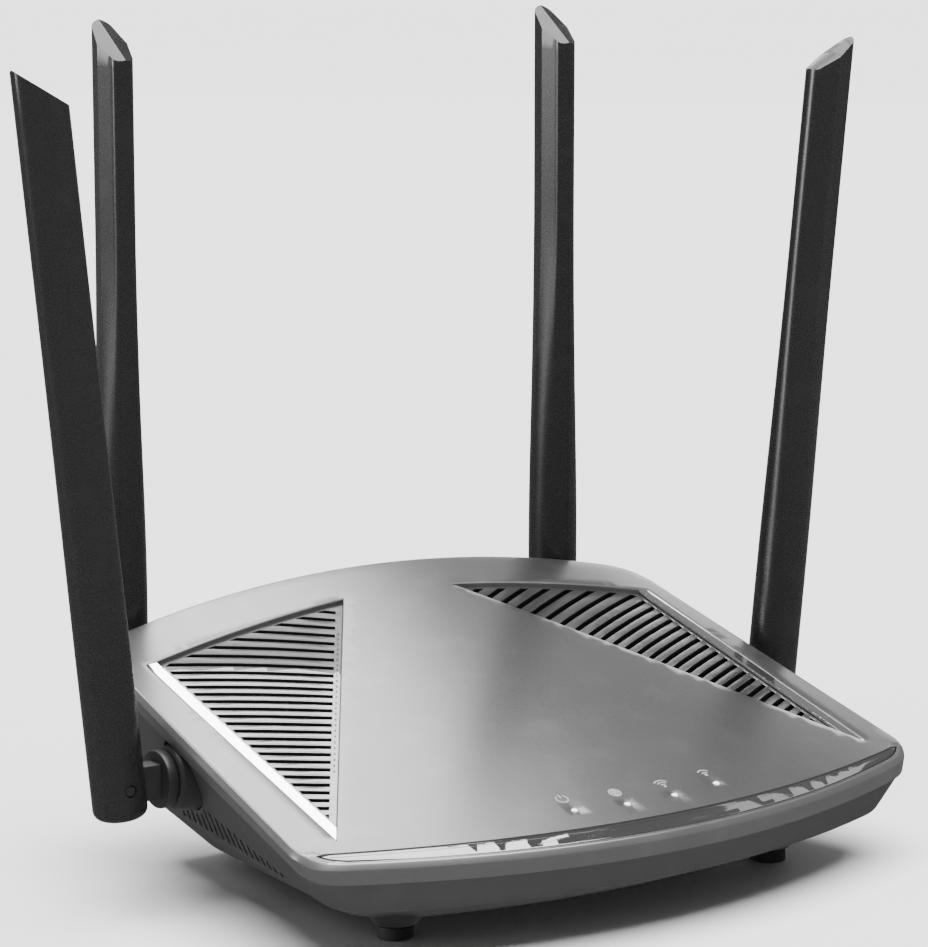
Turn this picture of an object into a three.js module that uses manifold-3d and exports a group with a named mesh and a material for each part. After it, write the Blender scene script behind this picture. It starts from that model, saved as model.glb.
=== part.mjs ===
// Wireless router with four hinged blade antennas.
// Millimetres, +Z up. The front edge faces -Y, the sockets face +Y.
// The origin is on the table, under the middle of the whole object.
import * as THREE from 'three';
import { mergeVertices } from 'three/addons/utils/BufferGeometryUtils.js';
import Module from 'manifold-3d';

const wasm = await Module();
wasm.setup();

// ---------------------------------------------------------------- driving dimensions

const gap = 0.3;                 // clearance between neighbouring pieces
const wall = 2.2;                // wall of both housing shells

// Housing: plan outline of its widest edge, and the height of its sloping top.
const frontY = -79.1;            // front edge on the centre line
const bodyDepth = 141.4;         // front edge to rear edge on the centre line
const bodyWidth = 192.2;         // across the front corners
const sideTaper = 0.0585;        // how fast each side closes in towards the rear
const frontBow = 2.55e-3;        // curvature of the convex front edge
const rearBow = 0.6e-3;          // curvature of the convex rear edge
const cornerFront = 9;           // length of the rounded front corners
const cornerRear = 10;           // length of the rounded rear corners
const cornerSlant = 0.75;        // share of the front corner's length that lies along the side
const frontHeight = 29.6;        // top surface at the front facet
const rearHeight = 70.4;         // top surface at the rear edge
const rearCrown = 1.34e-3;       // fall of the rear edge from the centre to the sides
const facetWidth = 5.5;          // front glossy facet, measured on the centre line
const facetBow = 2.27e-3;        // curvature of the line where the facet meets the top
const facetDrop = 1.1;           // how far the facet falls below the line of the top
const facetRebate = 1.5;         // depth of the rebate that holds the front trim
const facetRim = 0.45;           // rim of the cover in front of the trim
const bevelOut = 0.9;            // narrow bevel under the top edge: how far it stands out
const bevelDown = 1.3;           // and how far it goes down
const bandHeight = 3.4;          // nearly upright band below the bevel
const bandLeanSide = 1.2;        // how far the band leans in over its height, on the sides
const bandLeanRear = 1.7;        // and at the rear
const lipRound = 0.6;            // width of the softened edge round the top
const facetRun = 2.5;            // width over which the top turns down into the facet
const coverSkirt = 6.2;          // depth of the cover below the top surface
const baseStep = 0.45;           // how far the base sits in from the cover
const floorZ = 6.5;              // underside of the housing
const creaseZ = 14.5;            // top of the undercut at the front
const creaseRise = 0.062;        // how fast the undercut edge rises towards the rear
const floorInset = 22;           // the flat underside sits in from the front edge
const floorSideInset = 23.5;     // and from the sides
const floorRearInset = 9.3;      // and from the rear
const floorCorner = 8;           // extra length of the corners of the flat underside
const creaseSideInset = 9.2;     // the undercut edge sits in from the sides
const creaseFrontInset = 1.9;    // from the front edge
const creaseRearInset = 5;       // and from the rear
const creaseCorner = 2;          // extra length of its corners
const creaseLift = 0.88;         // the cavity's lower edge lies this far above the undercut's

// Grilles in the top.
const grilleInnerX = 17.2;       // rear inner corner of each triangular pocket
const grilleInnerInset = 14.9;   // that corner, in from the rear edge
const grilleOuterInset = 7.4;    // rear outer corner, in from the side
const grilleRearInset = 20.7;    // rear outer corner, in from the rear edge
const grilleFrontInset = 11.4;   // front corner, in from the side
const grilleFrontSetback = 5.015; // front corner, behind the facet's edge
const grilleDepth = 1.3;         // how deep the grille bars lie
const grilleThickness = 1.6;
const grilleMargin = 1.8;        // solid rim along the inner edge
const grilleRim = 0.9;           // solid rim along the other two edges
const grilleFoldAt = 0.32;       // where the wide bars end, along the inner edge
const grilleTipShare = 0.06;     // solid share of the front zone, in its narrow corner
const rearSlots = 9;
const frontSlots = 22;
const rearSlotShare = 0.42;      // open share of the bar pitch behind the fold
const frontSlotShare = 0.5;      // and in front of it
const accentWidth = 3.4;         // polished sloping strip beside each grille

// Indicators.
const pipeRadius = 0.85;
const pipePitch = 15;
const pipeInset = 12.5;          // indicators, behind the front edge
const pipeBow = 1.8e-3;          // extra curvature of their row

// Side vents.
const ventCount = 18;
const ventPitch = 3.1;
const ventWidth = 1.2;
const ventLean = -0.07;          // slant of the vents, radians
const ventTallest = 7.2;
const ventShortest = 1.6;
const ventPeakAt = 0.32;         // share of the row that lies behind the tallest vent
const ventFrontSetback = 50;     // front vent, behind the front edge
const ventRise = 0.7;            // lower end of a vent, above the edge of the undercut
const ventSocketClear = 1;       // wall left between a vent and a side antenna's socket

// Feet.
const footRadius = 4.75;
const footHeight = 3.4;
const footBossRadius = 7.2;
const bossFlare = 1.6;           // how much narrower the boss is at the foot
const bossRound = 0.4;
const footStemRadius = 2;
const footEdge = 0.5;            // chamfer round the sole
const frontFootX = 60;
const frontFootSetback = 38.6;   // behind the front edge
const rearFootX = 44;
const rearFootInset = 22;        // in from the rear edge

// Housing screws.
const frontScrewX = 49.5;
const rearScrewX = 25;
const screwFrontSetback = 53.1;  // front screws, behind the front edge
const screwRearInset = 35.3;     // rear screws, in front of the rear edge
const screwHeadRadius = 2.9;
const screwHeadHeight = 1.6;
const screwShankRadius = 1.1;
const screwShankLength = 10;
const screwTip = 1;              // pointed end
const screwSeatZ = 9.8;
const postRadius = 3.2;          // post of the cover that the screw holds
const postStart = 5;             // lower end of that post, above the screw's seat
const basePostRadius = 4;

// Circuit board and what it carries.
const boardZ = 13.4;
const boardThickness = 1.6;
const boardHalfWidth = 56;
const boardFrontSetback = 34;
const boardRearInset = 15;
const boardTongueHalf = 26;      // half width of the tongue that carries the indicators
const boardTongueLap = 0.6;      // how far the tongue reaches past the indicators
const boardPillarRadius = 2.8;
const boardPegRadius = 1.1;
const boardPegHeight = 0.8;      // peg, above the board
const boardPillarInset = 4;      // pillars, in from the board's sides
const boardPillarFront = 6;      // and behind its front edge
const boardPillarRear = 30;      // and in front of its rear edge
const processorY = -14;
const processorSize = 40;
const canHeight = 2;
const canWall = 0.5;
const radioCanX = 33;
const radioCanY = -10;
const radioCanWidth = 18;
const radioCanDepth = 30;
const radioCanHeight = 3.2;
const sinkSize = 38;
const sinkBase = 2.5;
const sinkHeight = 14;
const finCount = 9;
const finThickness = 1.3;

// Rear panel and its sockets.
const panelInset = 10.8;         // outer face of the panel, in from the rear edge
const panelThickness = 2;
const panelHalfWidth = 62;
const panelBottom = 10.5;
const panelRim = 2;              // panel above the network sockets
const portWidth = 16;
const portHeight = 13.2;
const portDepth = 17.5;
const portMouthWidth = 11.8;
const portMouthHeight = 8.4;
const portMouthDepth = 13;
const portSill = 2.6;            // wall under the mouth
const portKeyHalf = 3;           // notch under the mouth for the plug's latch
const portKeyDrop = 1.5;
const portX = { wan_port: 28, lan_port_1: 10.5, lan_port_2: -6.5, lan_port_3: -23.5, lan_port_4: -40.5 };
const jackX = 43.5;
const jackWidth = 9;
const jackHeight = 11;
const jackDepth = 13.5;
const jackBoreRadius = 3.2;
const jackPinRadius = 1;
const jackBack = 3;              // wall behind the bore
const jackPinSetback = 1.5;      // the pin ends this far inside the mouth
const powerButtonX = 55;
const powerButtonRadius = 3.7;
const powerButtonTravel = 1.5;
const powerSwitchX = 53;         // the switch clears the jack beside it
const powerSwitchSize = 6;
const wpsSwitchX = -51;
const wpsSwitchSize = 4.5;
const buttonRise = 5.6;          // buttons' axis, above the board
const buttonLip = 0.9;           // flange that keeps a button behind the panel
const buttonLipThickness = 1.2;
const buttonRound = 0.4;
const buttonPlay = 0.3;          // space left behind a button that is pressed in
const wpsButtonX = -53;
const wpsButtonRadius = 2.2;
const wpsButtonTravel = 0.8;
const resetX = -58.8;
const resetHoleRadius = 0.9;

// Antennas. Each blade hangs on a pin; U points away from the housing, W up the blade.
const bladeLength = 182.2;       // pin to the high side of the cut tip
const bladeRadius = 7;           // round lower part
const bladeNose = 5;             // faceted part: where the facets meet the rounded edges
const bladeNoseHalf = 3.1;       // half thickness there
const bladeRidge = 4.5;          // half thickness at the ridge
const bladeBelowPin = 8.2;
const bladeEndRound = 2.4;
const bladeTipFace = 20;         // straight length under the cut tip
const morphFrom = 28;            // the round section turns into the faceted one
const morphTo = 128;
const tipSlope = 0.72;           // the tip is cut lower on the housing side
const tipCrease = 0.25;          // and falls away from its centre crease
const pinRadius = 1.5;
const tongueThickness = 5.4;
const tongueRadius = 4.5;
const slotHeadroom = 1;          // extra height of the blade's slot above the tongue
const collarRadius = 7.5;
const collarNear = 10.9;         // collar faces, measured from the pin
const collarFar = 13.8;
const collarChamfer = 0.6;
const journalRadius = 4.9;
const journalPlay = 2;           // the journal ends this far before the socket does
const socketRadius = 8.1;
const socketRootRadius = 9.2;
const socketLength = 12.5;
const socketRootLength = 4.4;    // straight thick part, outside the flange
const socketChamfer = 0.9;
const flangeThickness = 1.6;
const flangeLip = 1.1;           // how far the flange stands out from the thick part
const bushWall = 1.2;            // end wall of the flange round the antenna's lead
const sideLean = THREE.MathUtils.degToRad(5.9);
const sidePinOut = 14.7;         // pin, out from the top edge of the side
const sidePinInset = 47.3;       // in front of the rear edge
const sidePinLift = 0.312;       // above the middle of the side wall
const rearPinX = 72;
const rearPinOut = 13.8;         // pin, out from the rear edge
const rearPinZ = 39.8;
const leadRadius = 0.9;
const leadSideInset = 7;         // where a lead starts on the board, in from its side
const leadStartInset = { side: 41.3, rear: 27.3 };   // in front of the board's rear edge
const leadRise = 8;              // straight length up from the board
const leadEnd = 6;               // straight length into the socket

// ---------------------------------------------------------------- derived places

const margin = 10;               // how far cutting blocks reach past the housing's plan outline
const beyond = bodyWidth;        // and how far they reach up, down or through
const flush = 0.05;              // keeps a face just below the surface that it ends level with
const rearY = frontY + bodyDepth;
const halfWidth = bodyWidth / 2;
const cornerY = frontY + frontBow * halfWidth ** 2 + 3;
const sideX = (y) => halfWidth - sideTaper * (y - cornerY);
const frontEdge = (x) => frontY + frontBow * x * x;
const rearEdge = (x) => rearY - rearBow * x * x;
const facetEdge = (x) => frontY + facetWidth + facetBow * x * x;

// Height of the top: straight from the front facet to the crowned rear edge.
function topZ(x, y) {
  const rear = rearHeight - rearCrown * x * x;
  const along = (y - facetEdge(x)) / (rearEdge(x) - facetEdge(x));
  return frontHeight + (rear - frontHeight) * along;
}
const partZ = (x, y) => topZ(x, y) - coverSkirt;
const creaseHeight = (y) => creaseZ + creaseRise * Math.max(0, y - cornerY);

// ---------------------------------------------------------------- solids

function solid(geometry) {
  const bare = geometry.clone();
  bare.deleteAttribute('normal');
  bare.deleteAttribute('uv');
  const merged = mergeVertices(bare, 1e-5);
  const mesh = new wasm.Mesh({
    numProp: 3,
    vertProperties: new Float32Array(merged.attributes.position.array),
    triVerts: new Uint32Array(merged.index.array),
  });
  return new wasm.Manifold(mesh);
}

function geometryOf(manifold) {
  const mesh = manifold.getMesh();
  const geometry = new THREE.BufferGeometry();
  geometry.setAttribute('position', new THREE.BufferAttribute(new Float32Array(mesh.vertProperties), 3));
  geometry.setIndex(new THREE.BufferAttribute(new Uint32Array(mesh.triVerts), 1));
  return geometry;
}

// Closed solid through rings of points, from the lowest ring to the last one.
function loft(rings) {
  const count = rings[0].length;
  const points = rings.flat();
  const faces = [];
  for (let r = 0; r + 1 < rings.length; r++) {
    for (let i = 0; i < count; i++) {
      const a = r * count + i;
      const b = r * count + (i + 1) % count;
      faces.push(a, b, b + count, a, b + count, a + count);
    }
  }
  const centre = (ring) => [0, 1, 2].map((k) => ring.reduce((sum, p) => sum + p[k], 0) / count);
  const first = points.length;
  points.push(centre(rings[0]), centre(rings.at(-1)));
  const last = (rings.length - 1) * count;
  for (let i = 0; i < count; i++) {
    const next = (i + 1) % count;
    faces.push(first, next, i, first + 1, last + i, last + next);
  }
  const geometry = new THREE.BufferGeometry();
  geometry.setAttribute('position', new THREE.Float32BufferAttribute(points.flat(), 3));
  geometry.setIndex(faces);
  return geometry;
}

// Closed solid between two height functions over a rectangle.
function slab([x0, x1], [y0, y1], low, high, steps = 8) {
  const layers = [low, high].map((height) => {
    const grid = [];
    for (let j = 0; j <= steps; j++) {
      for (let i = 0; i <= steps; i++) {
        const x = x0 + (x1 - x0) * i / steps;
        const y = y0 + (y1 - y0) * j / steps;
        grid.push([x, y, height(x, y)]);
      }
    }
    return grid;
  });
  const n = steps + 1;
  const faces = [];
  for (let j = 0; j < steps; j++) {
    for (let i = 0; i < steps; i++) {
      const a = j * n + i;
      const top = a + n * n;
      faces.push(a, a + n + 1, a + 1, a, a + n, a + n + 1);
      faces.push(top, top + 1, top + n + 1, top, top + n + 1, top + n);
    }
  }
  const rim = [];
  for (let i = 0; i < steps; i++) rim.push(i);
  for (let j = 0; j < steps; j++) rim.push(j * n + steps);
  for (let i = steps; i > 0; i--) rim.push(steps * n + i);
  for (let j = steps; j > 0; j--) rim.push(j * n);
  rim.forEach((a, k) => {
    const b = rim[(k + 1) % rim.length];
    faces.push(a, b, b + n * n, a, b + n * n, a + n * n);
  });
  const geometry = new THREE.BufferGeometry();
  geometry.setAttribute('position', new THREE.Float32BufferAttribute(layers.flat().flat(), 3));
  geometry.setIndex(faces);
  return geometry;
}

// Upright prism over a plan polygon.
function prism(points, low, high) {
  const shape = new THREE.Shape(points.map(([x, y]) => new THREE.Vector2(x, y)));
  return new THREE.ExtrudeGeometry(shape, { depth: high - low, bevelEnabled: false }).translate(0, 0, low);
}

const box = ([x0, x1], [y0, y1], [z0, z1]) => new THREE.BoxGeometry(x1 - x0, y1 - y0, z1 - z0)
  .translate((x0 + x1) / 2, (y0 + y1) / 2, (z0 + z1) / 2);

// Round solid about +Z from a profile of [radius, height] points that starts and ends on the axis.
const turned = (profile, sides = 20) => new THREE.LatheGeometry(
  profile.map(([r, h]) => new THREE.Vector2(r, h)), sides).rotateX(Math.PI / 2);

const rod = (radius, low, high, sides = 20) => turned(
  [[0, low], [radius, low], [radius, high], [0, high]], sides);
const alongX = (geometry) => geometry.rotateY(Math.PI / 2);
const alongY = (geometry) => geometry.rotateX(-Math.PI / 2);

// ---------------------------------------------------------------- housing rings

// Plan outline: convex front, straight tapering sides, convex rear, rounded corners.
// Each inset moves that edge inwards; height gives z for a point.
function ring({ front = 0, side = 0, rear = 0, corner = 0, height }) {
  const fore = (x) => frontEdge(x) + front;
  const aft = (x) => rearEdge(x) - rear;
  const flank = (y) => sideX(y) - side;
  const frontX = flank(cornerY - 3);
  const foreCorner = [frontX, fore(frontX)];
  const aftX = flank(aft(flank(rearY)));
  const aftCorner = [aftX, aft(aftX)];
  const cf = cornerFront + corner;
  const cr = cornerRear + corner;
  const half = [];
  const steps = 7;
  const bendSteps = 5;
  const sideSteps = 4;
  for (let i = 0; i <= steps; i++) {
    const x = (frontX - cf) * i / steps;
    half.push([x, fore(x)]);
  }
  const bend = (from, tip, to) => {
    for (let i = 1; i < bendSteps; i++) {
      const t = i / bendSteps;
      half.push([0, 1].map((k) => (1 - t) ** 2 * from[k] + 2 * t * (1 - t) * tip[k] + t * t * to[k]));
    }
  };
  const sideStart = foreCorner[1] + cf * cornerSlant;
  const sideEnd = aftCorner[1] - cr;
  bend([frontX - cf, fore(frontX - cf)], foreCorner, [flank(sideStart), sideStart]);
  for (let i = 0; i <= sideSteps; i++) {
    const y = sideStart + (sideEnd - sideStart) * i / sideSteps;
    half.push([flank(y), y]);
  }
  bend([flank(sideEnd), sideEnd], aftCorner, [aftX - cr, aft(aftX - cr)]);
  for (let i = 0; i <= steps; i++) {
    const x = (aftX - cr) * (1 - i / steps);
    half.push([x, aft(x)]);
  }
  const mirrored = half.slice(1, -1).reverse().map(([x, y]) => [-x, y]);
  return [...half, ...mirrored].map(([x, y]) => [x, y, height(x, y)]);
}

// Top edge of the housing: on the top surface, and lower where the front facet runs.
const lipZ = (x, y) => topZ(x, y) - facetDrop * THREE.MathUtils.clamp((facetEdge(x) - y) / facetRun, 0, 1);

function housingRings(inset, sink) {
  const sunk = (height) => (x, y) => height(x, y) - sink;
  const floor = () => floorZ + (sink > 0 ? wall : 0);
  const bevelZ = (x, y) => lipZ(x, y) - bevelDown - sink;
  const rings = [
    ring({ front: floorInset + inset, side: floorSideInset + inset, rear: floorRearInset + inset,
      corner: floorCorner, height: floor }),
    ring({ front: creaseFrontInset + inset, side: creaseSideInset + inset, rear: creaseRearInset + inset,
      corner: creaseCorner, height: (x, y) => creaseHeight(y) + (sink > 0 ? creaseLift : 0) }),
    ring({ front: -bevelOut + inset, side: -bevelOut + bandLeanSide + inset,
      rear: -bevelOut + bandLeanRear + inset, height: (x, y) => bevelZ(x, y) - bandHeight }),
    ring({ front: -bevelOut + inset, side: -bevelOut + inset, rear: -bevelOut + inset, height: bevelZ }),
    ring({ front: inset, side: inset, rear: inset, height: sunk(lipZ) }),
  ];
  const edge = lipRound + inset;
  const top = ring({ front: edge, side: edge, rear: edge, height: sunk(topZ) })
    .map(([x, y]) => {
      const pulled = Math.max(y, facetEdge(x) + inset);
      return [x, pulled, topZ(x, pulled) - sink];
    });
  rings.push(top);
  for (const scale of [0.8, 0.55, 0.3]) {
    rings.push(top.map(([x, y]) => [x * scale, y * scale, topZ(x * scale, y * scale) - sink]));
  }
  return rings;
}

const outer = solid(loft(housingRings(0, 0)));
const outerBase = solid(loft(housingRings(baseStep, 0)));
const cavity = solid(loft(housingRings(wall, wall)));
const wide = [[-halfWidth - margin, halfWidth + margin], [frontY - margin, rearY + margin]];
const above = solid(slab(...wide, (x, y) => partZ(x, y) + gap / 2, () => beyond));
const below = solid(slab(...wide, () => -beyond, (x, y) => partZ(x, y) - gap / 2));

// ---------------------------------------------------------------- grilles

const mirror = (points, sign) => (sign > 0 ? points : points.map(([x, y]) => [-x, y]).reverse());
const rearOuterY = rearY - grilleRearInset;
const frontCornerY = facetEdge(halfWidth - grilleFrontInset) + grilleFrontSetback;
const cornerA = [grilleInnerX, rearY - grilleInnerInset];
const cornerB = [sideX(rearOuterY) - grilleOuterInset, rearOuterY];
const cornerC = [sideX(frontCornerY) - grilleFrontInset, frontCornerY];

const mix = (p, q, t) => [p[0] + (q[0] - p[0]) * t, p[1] + (q[1] - p[1]) * t];

// Line through two points moved to its left by a distance.
function offsetLine(p, q, distance) {
  const length = Math.hypot(q[0] - p[0], q[1] - p[1]);
  const normal = [-(q[1] - p[1]) / length * distance, (q[0] - p[0]) / length * distance];
  return [[p[0] + normal[0], p[1] + normal[1]], [q[0] + normal[0], q[1] + normal[1]]];
}

function crossing([p, q], [r, s]) {
  const d = [q[0] - p[0], q[1] - p[1]];
  const e = [s[0] - r[0], s[1] - r[1]];
  const t = ((r[0] - p[0]) * e[1] - (r[1] - p[1]) * e[0]) / (d[0] * e[1] - d[1] * e[0]);
  return [p[0] + d[0] * t, p[1] + d[1] * t];
}

// The right pocket runs A, C, B anticlockwise; insets are for its inner, outer and rear edges.
function pocket(inner, outside, rear) {
  const ac = offsetLine(cornerA, cornerC, inner);
  const cb = offsetLine(cornerC, cornerB, outside);
  const ba = offsetLine(cornerB, cornerA, rear);
  return [crossing(ba, ac), crossing(ac, cb), crossing(cb, ba)];
}

const pocketRange = [[0, halfWidth + margin], [cornerC[1] - margin, cornerA[1] + margin]];

// One slot between two bars: a strip across the pocket, ended by the pocket's own edges.
function slotOutline(from, to, direction, edges) {
  const [inner, outside, rear] = edges;
  const corners = [from, to].map((start) => {
    const line = [start, [start[0] + direction[0], start[1] + direction[1]]];
    const near = crossing(line, inner);
    const ends = [outside, rear].map((edge) => crossing(line, edge))
      .map((p) => ({ p, reach: (p[0] - near[0]) * direction[0] + (p[1] - near[1]) * direction[1] }))
      .filter(({ reach }) => reach > 0)
      .sort((a, b) => a.reach - b.reach);
    return [near, ends[0].p];
  });
  return [corners[0][0], corners[1][0], corners[1][1], corners[0][1]];
}

function grille(sign) {
  const strip = accentWidth + 2 * gap;
  const shape = pocket(gap, strip, gap);
  const edges = [
    offsetLine(cornerA, cornerC, gap + grilleMargin),
    offsetLine(cornerC, cornerB, strip + grilleRim),
    offsetLine(cornerB, cornerA, gap + grilleRim),
  ];
  const fold = mix(cornerA, cornerC, grilleFoldAt);
  const across = [cornerB[0] - fold[0], cornerB[1] - fold[1]];
  const span = Math.hypot(...across);
  const direction = across.map((v) => v / span);
  const plate = solid(slab(...pocketRange, (x, y) => topZ(x, y) - grilleDepth - grilleThickness,
    (x, y) => topZ(x, y) - grilleDepth, 4));
  let body = plate.intersect(solid(prism(shape, 0, beyond)));
  const cuts = [];
  const cutZone = (start, end, count, share, skip) => {
    for (let i = skip; i < count; i++) {
      const t0 = (i + 0.5 - share / 2) / count;
      const t1 = (i + 0.5 + share / 2) / count;
      cuts.push(slotOutline(mix(start, end, t0), mix(start, end, t1), direction, edges));
    }
  };
  cutZone(cornerA, fold, rearSlots, rearSlotShare, 1);
  cutZone(fold, mix(cornerC, fold, grilleTipShare), frontSlots, frontSlotShare, 0);
  for (const outline of cuts) {
    body = body.subtract(solid(prism(outline, 0, beyond)));
  }
  return sign > 0 ? body : body.mirror([1, 0, 0]);
}

// Strip along the outer edge of a pocket, carried from its front corner to its rear corner.
// Its top slopes from the housing's top surface down to the grille.
function accentStrip(sign) {
  const outline = pocket(gap, gap, gap);
  const inner = pocket(gap, gap + accentWidth, gap);
  const stations = 6;
  const rings = Array.from({ length: stations }, (_, i) => {
    const t = i / (stations - 1);
    const [xo, yo] = mix(outline[1], outline[2], t);
    const [xi, yi] = mix(inner[1], inner[2], t);
    const low = (x, y) => topZ(x, y) - grilleDepth - grilleThickness;
    return [[xo, yo, low(xo, yo)], [xo, yo, topZ(xo, yo) - flush],
      [xi, yi, topZ(xi, yi) - grilleDepth], [xi, yi, low(xi, yi)]];
  });
  const body = solid(loft(rings.reverse()));
  return sign > 0 ? body : body.mirror([1, 0, 0]);
}

// ---------------------------------------------------------------- antenna parts

// Each quarter has half its points round the edge and half along the flat facet.
const edgeSteps = 3;
const quarterSteps = 2 * edgeSteps;
const bladeSides = 4 * quarterSteps;
const quarter = [];
for (let i = 0; i < edgeSteps; i++) {
  const angle = i * Math.PI / quarterSteps;
  quarter.push([bladeNose + (bladeRadius - bladeNose) * Math.cos(angle), bladeNoseHalf * Math.sin(angle)]);
}
for (let i = 0; i <= edgeSteps; i++) {
  const t = i / edgeSteps;
  quarter.push([bladeNose * (1 - t), bladeNoseHalf + (bladeRidge - bladeNoseHalf) * t]);
}
const facetPoint = (i) => {
  const turn = Math.floor(i / quarterSteps);
  const k = i % quarterSteps;
  const [u, v] = quarter[turn % 2 ? quarterSteps - k : k];
  return [[u, v], [-u, v], [-u, -v], [u, -v]][turn];
};

// Blade section: round near the hinge, faceted above.
function bladeRing(w, radius = bladeRadius) {
  const share = THREE.MathUtils.smoothstep(w, morphFrom, morphTo);
  return Array.from({ length: bladeSides }, (_, i) => {
    const angle = i * 2 * Math.PI / bladeSides;
    const [u, v] = facetPoint(i);
    return [
      THREE.MathUtils.lerp(radius * Math.cos(angle), u, share),
      THREE.MathUtils.lerp(radius * Math.sin(angle), v, share),
      w,
    ];
  });
}

const pinHole = () => solid(alongY(rod(pinRadius + gap, -margin, margin, 16)));

function bladeSolid() {
  const rings = [];
  for (let i = 0; i <= 3; i++) {
    const angle = i * Math.PI / 6;
    const radius = bladeRadius - bladeEndRound * (1 - Math.sin(angle));
    rings.push(bladeRing(-bladeBelowPin + bladeEndRound * (1 - Math.cos(angle)), radius));
  }
  const morphSteps = 5;
  for (let i = 0; i <= morphSteps; i++) {
    rings.push(bladeRing(morphFrom + (morphTo - morphFrom) * i / morphSteps));
  }
  rings.push(bladeRing(bladeLength - bladeTipFace));
  rings.push(bladeRing(bladeLength).map(([u, v]) => (
    [u, v, bladeLength - tipSlope * (bladeRadius - u) - tipCrease * Math.abs(v)])));
  const slotHalf = tongueThickness / 2 + gap;
  const slotReach = tongueRadius + gap;
  const slot = box([-bladeRadius - margin, slotReach], [-slotHalf, slotHalf],
    [-bladeBelowPin - margin, slotReach + slotHeadroom]);
  return solid(loft(rings)).subtract(solid(slot))
    .subtract(pinHole());
}

const placeOf = ({ pin, heading }) => new THREE.Matrix4().makeRotationZ(heading).setPosition(...pin);

// U runs away from the housing, so the knuckle and socket lie on the -U side of the pin.
function knuckleSolid() {
  const rim = collarRadius - collarChamfer;
  const collar = alongX(turned([[0, -collarFar], [rim, -collarFar],
    [collarRadius, -collarFar + collarChamfer], [collarRadius, -collarNear - collarChamfer],
    [rim, -collarNear], [0, -collarNear]]));
  const middle = -(collarNear + collarFar) / 2;
  const journal = alongX(rod(journalRadius, -collarFar - socketLength + journalPlay, middle));
  const tongue = box([middle, 0], [-tongueThickness / 2, tongueThickness / 2],
    [-tongueRadius, tongueRadius]);
  const nose = alongY(rod(tongueRadius, -tongueThickness / 2, tongueThickness / 2));
  return solid(collar).add(solid(journal)).add(solid(tongue)).add(solid(nose))
    .subtract(pinHole());
}

const socketNear = -collarFar - gap;
const socketFar = socketNear - socketLength;
const flangeRadius = socketRootRadius + flangeLip;

function socketSolid() {
  const shoulder = socketFar + flangeThickness;
  const body = alongX(turned([[0, socketFar], [flangeRadius, socketFar], [flangeRadius, shoulder],
    [socketRootRadius, shoulder], [socketRootRadius, shoulder + socketRootLength],
    [socketRadius, socketNear - socketChamfer], [socketRadius - socketChamfer, socketNear],
    [0, socketNear]]));
  return solid(body)
    .subtract(solid(alongX(rod(journalRadius + gap, socketFar + bushWall, socketNear + margin))));
}

// Clearance that a socket needs in the housing.
function socketCutter(antenna) {
  const shoulder = socketFar + flangeThickness + gap;
  const reach = socketRootRadius + gap;
  const wideReach = flangeRadius + gap;
  const profile = [[0, socketFar - gap], [wideReach, socketFar - gap], [wideReach, shoulder],
    [reach, shoulder], [reach, 0], [0, 0]];
  return solid(alongX(turned(profile)).applyMatrix4(placeOf(antenna)));
}

const sidePinY = rearY - sidePinInset;
const sidePinX = sideX(sidePinY) + sidePinOut;
const sidePinZ = (creaseHeight(sidePinY) + topZ(sideX(sidePinY), sidePinY)) / 2 + sidePinLift;
const rearPinY = rearEdge(rearPinX) + rearPinOut;
const onSide = { lean: sideLean, leadInset: leadStartInset.side };
const onRear = { heading: Math.PI / 2, lean: 0, leadInset: leadStartInset.rear };
const antennas = {
  side_right: { pin: [sidePinX, sidePinY, sidePinZ], heading: 0, ...onSide },
  side_left: { pin: [-sidePinX, sidePinY, sidePinZ], heading: Math.PI, ...onSide },
  rear_right: { pin: [rearPinX, rearPinY, rearPinZ], ...onRear },
  rear_left: { pin: [-rearPinX, rearPinY, rearPinZ], ...onRear },
};

// ---------------------------------------------------------------- cover and base

const indicatorX = [-1.5, -0.5, 0.5, 1.5].map((k) => k * pipePitch);
const indicators = indicatorX.map((x) => [x, frontEdge(x) + pipeInset + pipeBow * x * x]);
const screwSpots = [-1, 1].flatMap((sign) => [
  [sign * frontScrewX, frontY + screwFrontSetback], [sign * rearScrewX, rearY - screwRearInset]]);
const footSpots = {
  front_left: [-frontFootX, frontY + frontFootSetback], front_right: [frontFootX, frontY + frontFootSetback],
  rear_left: [-rearFootX, rearY - rearFootInset], rear_right: [rearFootX, rearY - rearFootInset],
};
const footTop = floorZ + 0.2;
const panelY = rearY - panelInset;
const boardFront = frontY + boardFrontSetback;
const boardRear = rearY - boardRearInset;
const onBoard = boardZ + boardThickness + gap;
const panelTop = onBoard + portHeight + panelRim;
const pillarSpots = [-1, 1].flatMap((sign) => [boardFront + boardPillarFront, boardRear - boardPillarRear]
  .map((y) => [sign * (boardHalfWidth - boardPillarInset), y]));
const inFloor = floorZ + wall / 2;     // inside the floor's thickness

function coverSolid() {
  let cover = outer.subtract(cavity).intersect(above);
  const skin = solid(slab(...wide, () => -beyond, (x, y) => topZ(x, y) - wall / 2));
  for (const [x, y] of screwSpots) {
    const post = solid(rod(postRadius, screwSeatZ + postStart, beyond).translate(x, y, 0)).intersect(skin);
    const holeEnd = screwSeatZ + screwShankLength + screwTip + gap;
    cover = cover.add(post)
      .subtract(solid(rod(screwShankRadius + gap, screwSeatZ, holeEnd, 12).translate(x, y, 0)));
  }
  for (const sign of [-1, 1]) {
    cover = cover.subtract(solid(prism(mirror(pocket(0, 0, 0), sign), 0, beyond)));
  }
  for (const [x, y] of indicators) {
    cover = cover.subtract(solid(rod(pipeRadius + gap, 0, beyond, 12).translate(x, y, 0)));
  }
  for (const antenna of Object.values(antennas)) {
    cover = cover.subtract(socketCutter(antenna));
  }
  return cover.subtract(facetBlock(0, facetRebate));
}

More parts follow.
